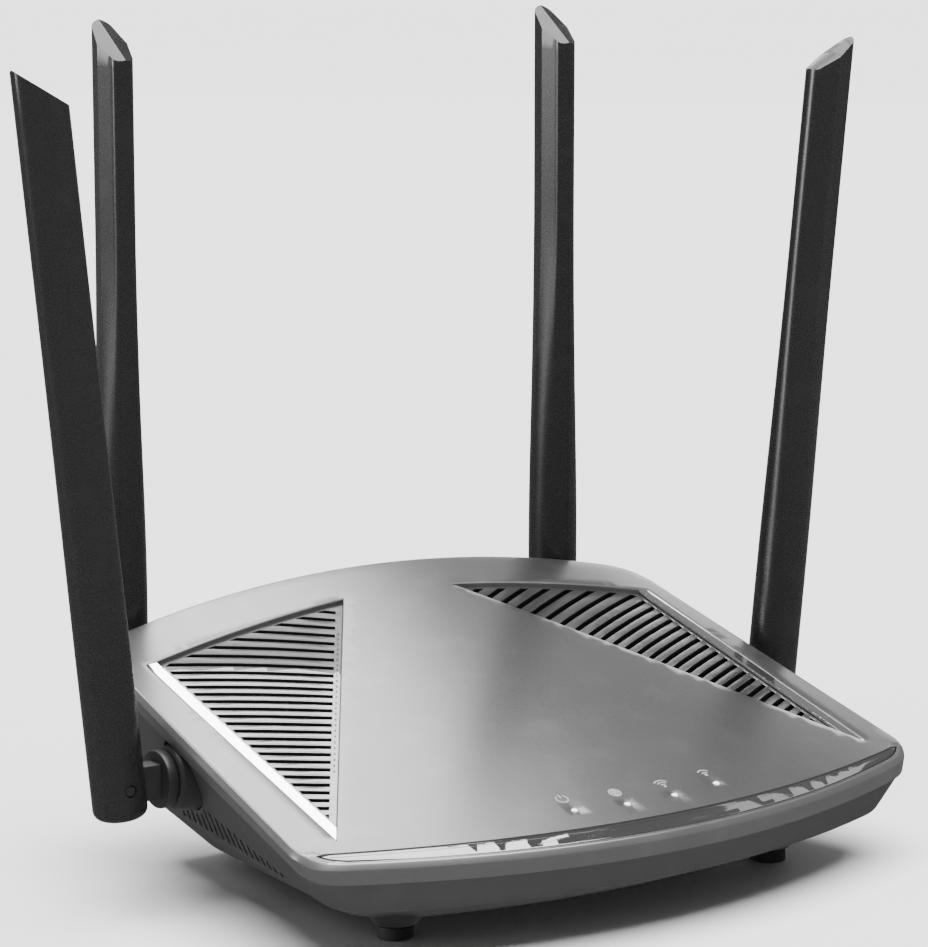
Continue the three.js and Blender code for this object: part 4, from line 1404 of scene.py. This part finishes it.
@dataclass
class Grille:
    """Louvred grille of one pocket: a plate with slots, and the polished strip beside it."""

    sign: int
    strip: float = 3.4
    strip_fall: float = 0.4
    depth: float = 1.3
    thickness: float = 1.6
    margin: float = 1.8
    rim: float = 0.9
    fold_at: float = 0.32
    tip_share: float = 0.06
    rear_slots: int = 9
    front_slots: int = 22
    rear_share: float = 0.42
    front_share: float = 0.5
    dash_inset: float = 1.3
    dash_length: float = 1.0
    dash_width: float = 0.45
    dash_from: float = 0.15
    dash_to: float = 0.72
    dash_count: int = 26
    slot_pitch: float = 9.0
    slot_round: float = 0.2
    # A slot wall whose normal's height is below this gets the near-black finish, which paints shade in
    # the slots.
    groove_shade_upright: float = 0.6
    plate_wall: float = 0.6

    def slots(self) -> list[Array]:
        """Outlines of the slots across the pocket.

        They are strips parallel to the line from the fold to the rear outer corner, each ended
        by the pocket's own moved edges.

        Returns:
            The outlines, each 4 by 2.
        """
        pocket = Pocket(1)
        a, c, b = pocket.corners()
        fold = between(a, c, self.fold_at)
        gap = FORM.gap
        limit = pocket.outline(gap + self.margin, self.strip + 2 * gap + self.rim, gap + self.rim)
        along = (b - fold) / np.linalg.norm(b - fold)
        zones = ((a, fold, self.rear_slots, self.rear_share, 1),
                 (fold, c + (fold - c) * self.tip_share, self.front_slots, self.front_share, 0))
        found = []
        for start, end, count, share, skip in zones:
            for i in range(skip, count):
                middles = [start + (end - start) * (i + 0.5 + k * share / 2) / count for k in (-1, 1)]
                chords = [self.chord(m, along, limit) for m in middles]
                if all(chord is not None for chord in chords):
                    (p, q), (r, s) = chords
                    found.append(np.array([p, r, s, q]))
        return found

    def dashes(self) -> list[Array]:
        """Outlines of the row of small slots beside the inner edge."""
        a, c, _ = Pocket(1).corners()
        along = (c - a) / np.linalg.norm(c - a)
        across = np.array([-along[1], along[0]])
        half = np.array([[-1, -1], [1, -1], [1, 1], [-1, 1]])
        half = half * [self.dash_length / 2, self.dash_width / 2]
        corners = half[:, :1] * along + half[:, 1:] * across
        middles = [a + (c - a) * share + across * self.dash_inset
                   for share in np.linspace(self.dash_from, self.dash_to, self.dash_count)]
        return [middle + corners for middle in middles]

    def shade_rear_louvres(self, piece: bpy.types.Object) -> None:
        """Give the louvres behind the fold a darker copy of the grille's finish: painted shade for
        louvres that face away from the light.

        Args:
            piece: The grille.
        """
        a, c, b = Pocket(1).corners()
        fold = between(a, c, self.fold_at)
        polygons = piece.data.polygons
        centres = np.empty(len(polygons) * 3, dtype=np.float32)
        index = np.empty(len(polygons), dtype=np.int32)
        polygons.foreach_get("center", centres)
        polygons.foreach_get("material_index", index)
        plan = centres.reshape(-1, 3)[:, :2] / MM * [self.sign, 1]

        def turn(point: Array) -> Array:
            """Which side of the fold a point is on, by sign."""
            away = point - fold
            return (b - fold)[0] * away[..., 1] - (b - fold)[1] * away[..., 0]

        # The top faces behind the fold are the ones that get the painted shade.
        behind = (turn(plan) * turn(a) > 0) & (index == 0)
        piece.data.materials.append(PAINT.get(Finish.LOUVRE_SHADE))
        polygons.foreach_set("material_index", np.where(behind, 2, index).astype(np.int32))

    @staticmethod
    def chord(point: Array, along: Array, outline: Array) -> tuple[Array, Array] | None:
        """Where a line crosses a convex outline.

        Args:
            point: A point of the line.
            along: Its direction.
            outline: The outline.

        Returns:
            The two crossings in order, or None.
        """
        normal = np.array([-along[1], along[0]])
        side = (outline - point) @ normal
        ahead = np.roll(outline, -1, axis=0)
        other = np.roll(side, -1)
        crossed = (side > 0) != (other > 0)
        if crossed.sum() != 2:
            return None
        share = side[crossed] / (side[crossed] - other[crossed])
        hits = outline[crossed] + (ahead - outline)[crossed] * share[:, None]
        order = np.argsort(hits @ along)
        return hits[order[0]], hits[order[1]]

    def make(self) -> list[bpy.types.Object]:
        """Build the grille and its strip.

        Returns:
            The two pieces.
        """
        side = "right" if self.sign > 0 else "left"
        pocket = Pocket(self.sign)
        gap = FORM.gap
        outline = pocket.place(along_edges(Pocket(1).outline(gap, self.strip + 2 * gap, gap), 4.0))
        surface = Surface()
        sheet = Sheet(outline, pitch=5.0, base_drop=self.depth)
        for slot in self.slots() + self.dashes():
            slot = pocket.place(anticlockwise(along_edges(slot, self.slot_pitch)))
            sheet.well(surface, slot, self.slot_round, self.thickness)
        sheet.fill(surface)
        piece = surface.build(f"grille_plate_{side}")
        solidify(piece, self.plate_wall)
        smooth(piece)
        PAINT.dress(piece, Finish.GRILLE)
        # The walls of the slots get the near-black finish: painted shade inside the slots.
        PAINT.paint_wall_shade(piece, Finish.GROOVE_SHADE, self.groove_shade_upright)
        # The louvres behind the fold get the darker copy of the grille's plastic: painted shade.
        self.shade_rear_louvres(piece)
        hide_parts(f"grille_{side}")
        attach(piece, "housing")
        return [piece, self.accent(side)]

    def accent(self, side: str) -> bpy.types.Object:
        """Build the strip: a sloped face from the top's edge down to the grille.

        Args:
            side: left or right.

        Returns:
            The piece.
        """
        gap = FORM.gap
        outer = Pocket(1).outline(gap, gap, gap)[1:]
        inner = Pocket(1).outline(gap, gap + self.strip, gap)[1:]
        t = np.linspace(0, 1, 40)[:, None]
        out, within = (line[0] + (line[1] - line[0]) * t for line in (outer, inner))

        def raised(share: float, drop: float) -> Array:
            """A line between the two edges, below the top by a drop."""
            plan = between(out, within, share)
            return np.column_stack([plan, FORM.top_z(*plan.T) - drop])

        low = self.depth + self.thickness
        lines = [raised(0, low), raised(0, 0.25), raised(0.02, 0.12), raised(0.06, 0.1),
                 raised(0.94, self.strip_fall - 0.06), raised(0.98, self.strip_fall + 0.02),
                 raised(1, self.strip_fall + 0.15), raised(1, low)]
        rings = np.stack(lines, axis=1)[::-1]
        if self.sign < 0:
            rings = (rings * [-1, 1, 1])[:, ::-1]
        piece = solid(f"accent_{side}", rings)
        smooth(piece, math.radians(25))
        PAINT.dress(piece, Finish.ACCENT)
        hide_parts(f"accent_strip_{side}")
        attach(piece, "housing")
        return piece


@dataclass
class Antenna:
    """One antenna: socket in the housing, turning knuckle, pin and blade.

    Its own frame has u away from the housing, w up and the pin at the origin.
    """

    name: str
    pin: Vector
    heading: float
    lean: float
    length: float = 182.2
    radius: float = 7.0
    nose: float = 5.0
    nose_half: float = 3.1
    ridge: float = 4.5
    below: float = 8.2
    end_round: float = 2.4
    morph_from: float = 28.0
    morph_to: float = 128.0
    tip_slope: float = 0.72
    tip_crease: float = 0.25
    tongue_half: float = 2.7
    tongue_radius: float = 4.5
    collar_radius: float = 7.5
    collar_near: float = 10.9
    collar_far: float = 13.8
    journal: float = 4.9
    collar_neck: float = 5.2
    socket_length: float = 12.5
    gap: float = 0.3
    pin_radius: float = 1.5
    blade_bore: float = 1.65
    tongue_bore: float = 1.8
    bore_half: float = 12.0
    flange_radius: float = 10.3
    flange_width: float = 1.6
    root_radius: float = 9.2
    root_length: float = 6.0
    barrel_radius: float = 8.1
    mouth_radius: float = 7.2
    mouth_length: float = 0.9
    bore_radius: float = 5.2
    bore_floor: float = 1.2
    lead_radius: float = 2.0

    @classmethod
    def all(cls) -> list["Antenna"]:
        """The four antennas, with each pin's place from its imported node."""
        headings = {"side_right": (0.0, 5.9), "side_left": (math.pi, 5.9),
                    "rear_right": (math.pi / 2, 0.0), "rear_left": (math.pi / 2, 0.0)}
        return [cls(name, box_middle(f"hinge_pin_{name}"), heading, math.radians(lean))
                for name, (heading, lean) in headings.items()]

    def to_world(self, points: Array, lean: float = 0.0) -> Array:
        """Turn (u, v, w) points into the router's frame: lean about v, turn about z, move to the pin.

        Args:
            points: Points, any shape by 3.
            lean: Lean angle away from the housing, in radians.

        Returns:
            The points in the router's frame.
        """
        turn = Matrix.Rotation(self.heading, 3, "Z") @ Matrix.Rotation(lean, 3, "Y")
        return points @ np.array(turn).T + np.array(self.pin)

    def along(self, rings: Array) -> Array:
        """Lay rings turned about +Z along +U instead, and place them.

        Args:
            rings: Rings, R by N by 3.

        Returns:
            The placed rings.
        """
        turned = np.stack([rings[..., 2], rings[..., 0], rings[..., 1]], -1)
        return self.to_world(turned)

    def sections(self, heights: Array, radius: Array) -> Array:
        """Blade sections at several heights.

        Each is a circle low down and a flat-faced lens with round edges high up, with a smooth
        step from one to the other.

        Args:
            heights: Heights above the pin.
            radius: Radius of the round part at each.

        Returns:
            Rings, R by N by 3.
        """
        steps = 7
        angle = np.linspace(0, np.pi / 2, steps + 1)
        edge = np.stack([self.nose + (self.radius - self.nose) * np.cos(angle),
                         self.nose_half * np.sin(angle)], -1)
        t = np.linspace(0, 1, steps + 1)[1:, None]
        flat = np.array([self.nose, self.nose_half]) * (1 - t) + np.array([0, self.ridge]) * t
        quarter = np.concatenate([edge, flat])
        half = np.concatenate([quarter, quarter[-2::-1] * [-1, 1]])
        lens = np.concatenate([half, half[-2:0:-1] * [1, -1]])
        turn = np.arange(len(lens)) * 2 * np.pi / len(lens)
        share = np.clip((heights - self.morph_from) / (self.morph_to - self.morph_from), 0, 1)
        share = (share * share * (3 - 2 * share))[:, None]
        u = radius[:, None] * np.cos(turn) * (1 - share) + lens[:, 0] * share
        v = radius[:, None] * np.sin(turn) * (1 - share) + lens[:, 1] * share
        return np.stack([u, v, np.broadcast_to(heights[:, None], u.shape)], -1)

    def blade(self) -> bpy.types.Object:
        """Build the blade, with its slot for the tongue and its sloping, creased tip.

        Returns:
            The piece.
        """
        bend = np.linspace(0, np.pi / 2, 6)
        low = -self.below + self.end_round * (1 - np.cos(bend))
        narrow = self.radius - self.end_round * (1 - np.sin(bend))
        rise = np.concatenate([np.linspace(-self.below + self.end_round + 1, self.morph_from, 8),
                               np.linspace(self.morph_from, self.morph_to, 40)[1:],
                               np.linspace(self.morph_to, self.length - 12, 8)[1:]])
        rings = self.sections(np.concatenate([low, rise]),
                              np.concatenate([narrow, np.full(len(rise), self.radius)]))
        crown = self.sections(np.array([self.length]), np.array([self.radius]))[0]
        crown[:, 2] -= (self.tip_slope * (self.radius - crown[:, 0])
                        + self.tip_crease * np.abs(crown[:, 1]))
        rings = np.concatenate([rings, crown[None]])
        surface = Surface()
        surface.loft(self.to_world(rings, self.lean))
        first = rings[0]
        surface.add(self.to_world(first, self.lean), [list(range(len(first)))[::-1]])
        half = len(crown) // 2
        front, back = crown[:half + 1], np.concatenate([crown[half:], crown[:1]])[::-1]
        spine = front * [1, 0, 1]
        spine[:, 2] = self.length - self.tip_slope * (self.radius - spine[:, 0])
        surface.loft(self.to_world(np.stack([front, spine]), self.lean), wrap=False)
        surface.loft(self.to_world(np.stack([spine, back]), self.lean), wrap=False)
        piece = surface.build(f"antenna_blade_{self.name}")
        slot_half = self.tongue_half + self.gap
        reach = self.tongue_radius + self.gap
        slot = block_rings((-self.radius - 5, -slot_half, -self.below - 5), (reach, slot_half, reach + 1))
        bore = rod_rings(self.blade_bore, self.bore_half)
        combine(piece, solid("slot", self.to_world(slot, self.lean)), "DIFFERENCE")
        combine(piece, solid("hole", self.to_world(bore, self.lean)), "DIFFERENCE")
        round_edges(piece, 0.35, 38)
        smooth(piece, math.radians(20))
        PAINT.dress(piece, Finish.ANTENNA)
        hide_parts(f"blade_{self.name}")
        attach(piece, f"antenna_{self.name}")
        return piece

    def rivet(self) -> bpy.types.Object:
        """Build the pin: a rod with domed ends.

        Returns:
            The piece.
        """
        end = self.radius - self.gap
        profile = rounded_profile([(AXIS_RADIUS, -end), (self.pin_radius, -end),
                                   (self.pin_radius, end), (AXIS_RADIUS, end)], 0.5, 5)
        rings = laid_across(turned_rings(profile, ROD_SIDES))
        piece = solid(f"pin_{self.name}", self.to_world(rings, self.lean))
        smooth(piece)
        PAINT.dress(piece, Finish.HINGE)
        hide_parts(f"hinge_pin_{self.name}")
        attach(piece, f"antenna_{self.name}")
        return piece

    def knuckle(self) -> bpy.types.Object:
        """Build the knuckle: journal, collar and tongue in one.

        Returns:
            The piece.
        """
        inner = -self.collar_far - self.socket_length + 2
        profile = [(AXIS_RADIUS, inner), (self.journal, inner), (self.journal, -self.collar_far),
                   (self.collar_radius, -self.collar_far), (self.collar_radius, -self.collar_near),
                   (self.collar_neck, -self.collar_near), (AXIS_RADIUS, -self.collar_near)]
        rings = turned_rings(rounded_profile(profile, 0.55), 64)
        piece = solid(f"knuckle_body_{self.name}", self.along(rings))
        nose = circle_arc(self.tongue_radius, -np.pi / 2, np.pi / 2, 24)
        start = -(self.collar_near + self.collar_far) / 2
        plan = np.concatenate([[[start, -self.tongue_radius]], nose, [[start, self.tongue_radius]]])
        tongue = np.stack([np.column_stack([plan[:, 0], np.full(len(plan), v), plan[:, 1]])
                           for v in (self.tongue_half, -self.tongue_half)])
        bore = rod_rings(self.tongue_bore, self.bore_half)
        combine(piece, solid("tongue", self.to_world(tongue)), "UNION")
        combine(piece, solid("hole", self.to_world(bore)), "DIFFERENCE")
        round_edges(piece, 0.3, 50)
        smooth(piece)
        PAINT.dress(piece, Finish.HINGE)
        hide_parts(f"knuckle_{self.name}")
        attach(piece, f"swivel_{self.name}")
        return piece

    def socket(self) -> bpy.types.Object:
        """Build the socket: flange, thick root, barrel with a softened mouth, and bore.

        Returns:
            The piece.
        """
        near = -self.collar_far - self.gap
        far = near - self.socket_length
        step, floor = far + self.flange_width, far + self.bore_floor
        outside = [(self.lead_radius, far), (self.flange_radius, far), (self.flange_radius, step),
                   (self.root_radius, step), (self.root_radius, far + self.root_length),
                   (self.barrel_radius, near - self.mouth_length), (self.mouth_radius, near),
                   (self.bore_radius, near)]
        bore = [(self.bore_radius, near), (self.bore_radius, floor), (self.lead_radius, floor),
                (self.lead_radius, far)]
        profile = [*rounded_profile(outside, 0.4), *rounded_profile(bore, 0.3)[1:]]
        surface = Surface()
        surface.loft(self.along(turned_rings(profile, 64)))
        piece = surface.build(f"socket_barrel_{self.name}")
        smooth(piece)
        PAINT.dress(piece, Finish.HINGE)
        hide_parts(f"socket_{self.name}")
        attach(piece, "housing")
        return piece

    def make(self) -> list[bpy.types.Object]:
        """Build the whole antenna.

        Returns:
            Its pieces.
        """
        return [self.blade(), self.rivet(), self.knuckle(), self.socket()]


@dataclass
class Foot:
    """Rubber foot: a turned pad with a rounded sole and a stem."""

    name: str
    radius: float = 4.75
    height: float = 3.4
    stem: float = 2.0
    top: float = 6.7

    def make(self) -> bpy.types.Object:
        """Build the foot.

        Returns:
            The piece.
        """
        middle = box_middle(f"foot_{self.name}")
        profile = rounded_profile([(AXIS_RADIUS, 0.0), (self.radius, 0.0),
                                   (self.radius, self.height), (self.stem, self.height),
                                   (self.stem, self.top), (AXIS_RADIUS, self.top)], 0.6, 6)
        rings = turned_rings(profile, 48) + [middle.x, middle.y, 0]
        piece = solid(f"rubber_foot_{self.name}", rings)
        smooth(piece)
        PAINT.dress(piece, Finish.RUBBER)
        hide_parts(f"foot_{self.name}")
        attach(piece, "housing")
        return piece


class Mark(Enum):
    """Icons beside the indicators, as arcs and bars on a unit square.

    An arc is (centre right, centre up, radius, from degrees, to degrees); a bar is an arc whose
    radius is 0 and whose last two numbers are its half length and its angle.
    """

    POWER = ((0, 0, 0.8, 125, 415), (0, 0.62, 0, 0.42, 90))
    GLOBE = ((0, 0, 0.8, 0, 360), (0, 0, 0, 0.78, 0), (0, 0, 0, 0.78, 90),
             (-0.95, 0, 1.3, -37, 37), (0.95, 0, 1.3, 143, 217))
    WAVES = ((0, -0.7, 0.5, 45, 135), (0, -0.7, 0.98, 45, 135), (0, -0.7, 1.46, 45, 135),
             (0, -0.7, 0.12, 0, 360))
    WAVES_DOT = ((0, -0.7, 0.6, 45, 135), (0, -0.7, 1.2, 45, 135), (0, -0.62, 0.16, 0, 360))


@dataclass
class Indicators:
    """Four lit pipe ends in the top, each with a printed icon behind it."""

    behind: float = 5.2
    size: float = 1.95
    stroke: float = 0.34
    proud: float = 0.03
    sunk: float = 0.05
    pipe_radius: float = 0.85
    dome_drop: float = 0.1
    dome_rise: float = 0.12

    def stroke_grid(self, mark: tuple, at: Array) -> Array:
        """One stroke as a thin raised ribbon that follows the top.

        Args:
            mark: The arc or bar.
            at: Centre of the icon, x and y.

        Returns:
            Rows of points: lower left, upper left, upper right and lower right of the ribbon.
        """
        right, up, radius, start, end = mark
        if radius > 0:
            angle = np.radians(np.linspace(start, end, 40))
            outward = np.stack([np.cos(angle), np.sin(angle)], -1)
            line = outward * radius
        else:
            direction = np.array([math.cos(math.radians(end)), math.sin(math.radians(end))])
            line = direction * np.linspace(-start, start, 8)[:, None]
            outward = np.broadcast_to([direction[1], -direction[0]], line.shape)
        line = (line + [right, up]) * self.size + at
        half = self.stroke / 2
        rows = []
        for share, lift in ((1, -self.sunk), (1, self.proud), (-1, self.proud), (-1, -self.sunk)):
            plan = line + outward * half * share
            rows.append(np.column_stack([plan, FORM.top_z(*plan.T) + lift]))
        return np.stack(rows)

    def make(self, pipes: Array) -> list[bpy.types.Object]:
        """Build the icons and the pipe ends.

        Args:
            pipes: Places of the pipe ends, 4 by 3.

        Returns:
            The pieces.
        """
        made = []
        marks = (Mark.POWER, Mark.GLOBE, Mark.WAVES, Mark.WAVES_DOT)
        for i, (mark, (x, y, z)) in enumerate(zip(marks, pipes), 1):
            surface = Surface()
            for stroke in mark.value:
                rows = self.stroke_grid(stroke, np.array([x, y + self.behind]))
                closed = stroke[2] > 0 and stroke[4] - stroke[3] == 360
                surface.loft(rows.transpose(1, 0, 2), caps=not closed)
            icon = surface.build(f"icon_{mark.name.lower()}")
            PAINT.dress(icon, Finish.PRINT)
            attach(icon, "housing")
            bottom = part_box(f"light_pipe_{i}")[0].z / MM
            profile = rounded_profile([(AXIS_RADIUS, bottom), (self.pipe_radius, bottom),
                                       (self.pipe_radius, z - self.dome_drop),
                                       (AXIS_RADIUS, z + self.dome_rise)], 0.3, 5)
            tip = solid(f"indicator_{i}", turned_rings(profile, ROD_SIDES) + [x, y, 0])
            smooth(tip)
            PAINT.dress(tip, Finish.LAMP)
            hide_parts(f"light_pipe_{i}")
            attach(tip, "housing")
            made += [icon, tip]
        return made


@dataclass
class RearPanel:
    """What shows at the rear: sprung contacts in each network socket."""

    ports: tuple[str, ...] = ("wan_port", "lan_port_1", "lan_port_2", "lan_port_3", "lan_port_4")
    contacts: int = 8
    pitch: float = 1.02
    width: float = 0.45
    thickness: float = 0.3
    reach: float = 8.0
    mouth_top: float = 11.0
    hang: float = 0.4
    setback: float = 2.0
    bend: float = 3.2
    points: int = 10

    def make(self) -> list[bpy.types.Object]:
        """Build the contacts.

        Each contact is a thin bent strip from the top of the mouth down and inwards.

        Returns:
            The pieces.
        """
        made = []
        for port in self.ports:
            low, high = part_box(port)
            low, high = low / MM, high / MM
            middle = (low.x + high.x) / 2
            top = low.z + self.mouth_top - self.hang
            t = np.linspace(0, 1, self.points)
            y = high.y - self.setback - self.reach * t
            z = top - self.bend * np.sin(np.pi / 2 * t)
            surface = Surface()
            for i in range(self.contacts):
                x = middle + (i - (self.contacts - 1) / 2) * self.pitch
                half = self.width / 2
                rows = [np.column_stack([np.full(self.points, x + side), y, z + lift])
                        for side, lift in ((half, 0), (half, self.thickness),
                                           (-half, self.thickness), (-half, 0))]
                surface.loft(np.stack(rows, axis=1), caps=True)
            piece = surface.build(f"contacts_{port}")
            smooth(piece)
            PAINT.dress(piece, Finish.GOLD)
            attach(piece, "housing")
            made.append(piece)
        return made


def dress_nodes() -> None:
    """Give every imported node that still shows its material."""
    finishes = {"board": Finish.BOARD, "can": Finish.STEEL, "sink": Finish.ALUMINIUM,
                "port": Finish.STEEL, "jack": Finish.SOCKET, "panel": Finish.BASE,
                "button": Finish.BUTTON, "switch": Finish.SOCKET, "screw": Finish.STEEL,
                "lead": Finish.LEAD}
    for name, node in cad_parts.items():
        node.data.materials.clear()
        key = next((k for k in finishes if k in name), "board")
        node.data.materials.append(PAINT.get(finishes[key]))


# ---------------------------------------------------------------------------- studio


@dataclass
class Studio:
    """Pale floor, soft lights and the camera."""

    azimuth: float = 35.06
    elevation: float = 9.98
    distance: float = 976.32
    target: tuple[float, float, float] = (11.38, 31.5, 99.22)
    focal: float = 136.9
    floor_reach: float = 14.0
    lamp_aim: tuple[float, float, float] = (0.0, 0.0, 0.05)
    sun_place: tuple[float, float, float] = (0.0, -0.18, 1.8)
    sun_angle: float = 60.0
    sun_energy: float = 9.0
    glow_reflected: float = 0.2
    glow_seen: float = 2.4

    def camera(self) -> None:
        """Place the camera on its line of sight and make it the scene's camera."""
        azimuth, elevation = math.radians(self.azimuth), math.radians(self.elevation)
        sight = Vector((math.sin(azimuth) * math.cos(elevation),
                        math.cos(azimuth) * math.cos(elevation), -math.sin(elevation)))
        data = bpy.data.cameras.new("camera")
        data.lens = self.focal
        data.sensor_width = 36.0
        data.clip_start, data.clip_end = 0.05, 20.0
        camera = bpy.data.objects.new("camera", data)
        bpy.context.scene.collection.objects.link(camera)
        camera.location = (Vector(self.target) - sight * self.distance) * MM
        camera.rotation_euler = sight.to_track_quat("-Z", "Y").to_euler()
        bpy.context.scene.camera = camera

    def floor(self) -> None:
        """Lay a wide flat floor."""
        reach = np.linspace(-self.floor_reach, self.floor_reach, 5)
        points = np.stack([*np.meshgrid(reach, reach), np.zeros((5, 5))], -1)
        mesh = bpy.data.meshes.new("floor")
        mesh.from_pydata(points.reshape(-1, 3).tolist(), [], grid_faces(5, 5, False).tolist())
        floor = bpy.data.objects.new("floor", mesh)
        bpy.context.scene.collection.objects.link(floor)
        shader = Shader("pale_floor")
        tone = shader.noise(3.0, 2.0)
        shader.set(Base_Color=shader.mix(tone, grey(0.92), grey(0.94)), Roughness=tone * 0.05 + 0.85)
        mesh.materials.append(shader.material)
        floor.visible_glossy = False

    def _hang(self, name: str, data: bpy.types.Light, place: tuple[float, float, float]) -> None:
        """Hang a lamp and turn it to the router.

        Only the sun lights surfaces; the boxes show in reflections alone.

        Args:
            name: The lamp's name.
            data: The light that it gives.
            place: Where it hangs, in metres.
        """
        lamp = bpy.data.objects.new(name, data)
        bpy.context.scene.collection.objects.link(lamp)
        lamp.location = place
        lamp.visible_camera = False
        lamp.visible_diffuse = data.type == "SUN"
        aim = Vector(self.lamp_aim) - Vector(place)
        lamp.rotation_euler = aim.to_track_quat("-Z", "Y").to_euler()

    def lights(self) -> None:
        """Hang the soft boxes and the broad sun.

        A box gives out its radiance times pi times its area.
        """
        boxes = (("behind", (2.05, 2.0, 0.60), 2.2, 0.85, 4.0),
                 ("high", (0.40, 1.22, 1.53), 1.3, 0.5, 12.0),
                 ("left", (-1.9, 0.6, 0.8), 0.6, 1.5, 18.0),
                 ("right", (1.6, 0.15, 1.35), 0.6, 0.6, 1.6))
        for name, place, width, height, radiance in boxes:
            data = bpy.data.lights.new(name, "AREA")
            data.shape = "RECTANGLE"
            data.size, data.size_y = width, height
            data.energy = radiance * math.pi * width * height
            self._hang(name, data, place)
        sky = bpy.data.lights.new("overhead", "SUN")
        sky.angle = math.radians(self.sun_angle)
        sky.energy = self.sun_energy
        self._hang("overhead", sky, self.sun_place)

    def world(self) -> None:
        """Set the even glow all round: dim in reflections and pale where the camera sees it."""
        world = bpy.data.worlds.new("studio")
        world.use_nodes = True
        tree = world.node_tree
        background = tree.nodes["Background"]
        background.inputs["Color"].default_value = (1.0, 1.0, 1.0, 1.0)
        rays = tree.nodes.new("ShaderNodeLightPath")
        strength = tree.nodes.new("ShaderNodeMapRange")
        strength.inputs["To Min"].default_value = self.glow_reflected
        strength.inputs["To Max"].default_value = self.glow_seen
        tree.links.new(rays.outputs["Is Camera Ray"], strength.inputs["Value"])
        tree.links.new(strength.outputs["Result"], background.inputs["Strength"])
        bpy.context.scene.world = world


def main() -> None:
    """Build the studio and every piece of the router, in order."""
    logging.basicConfig(level=logging.INFO, format="%(message)s")
    studio = Studio()
    studio.camera()
    studio.floor()
    studio.lights()
    studio.world()
    dress_nodes()
    cover = Cover()
    made = cover.make()
    made.append(Base().make())
    for sign in (-1, 1):
        made += Grille(sign).make()
    made += Indicators().make(cover.pipes())
    made += [Foot(name).make() for name in FEET]
    for antenna in Antenna.all():
        made += antenna.make()
    made += RearPanel().make()
    for piece in made:
        LOG.info("%s: %d faces", piece.name, len(piece.data.polygons))


if __name__ == "__main__":
    main()
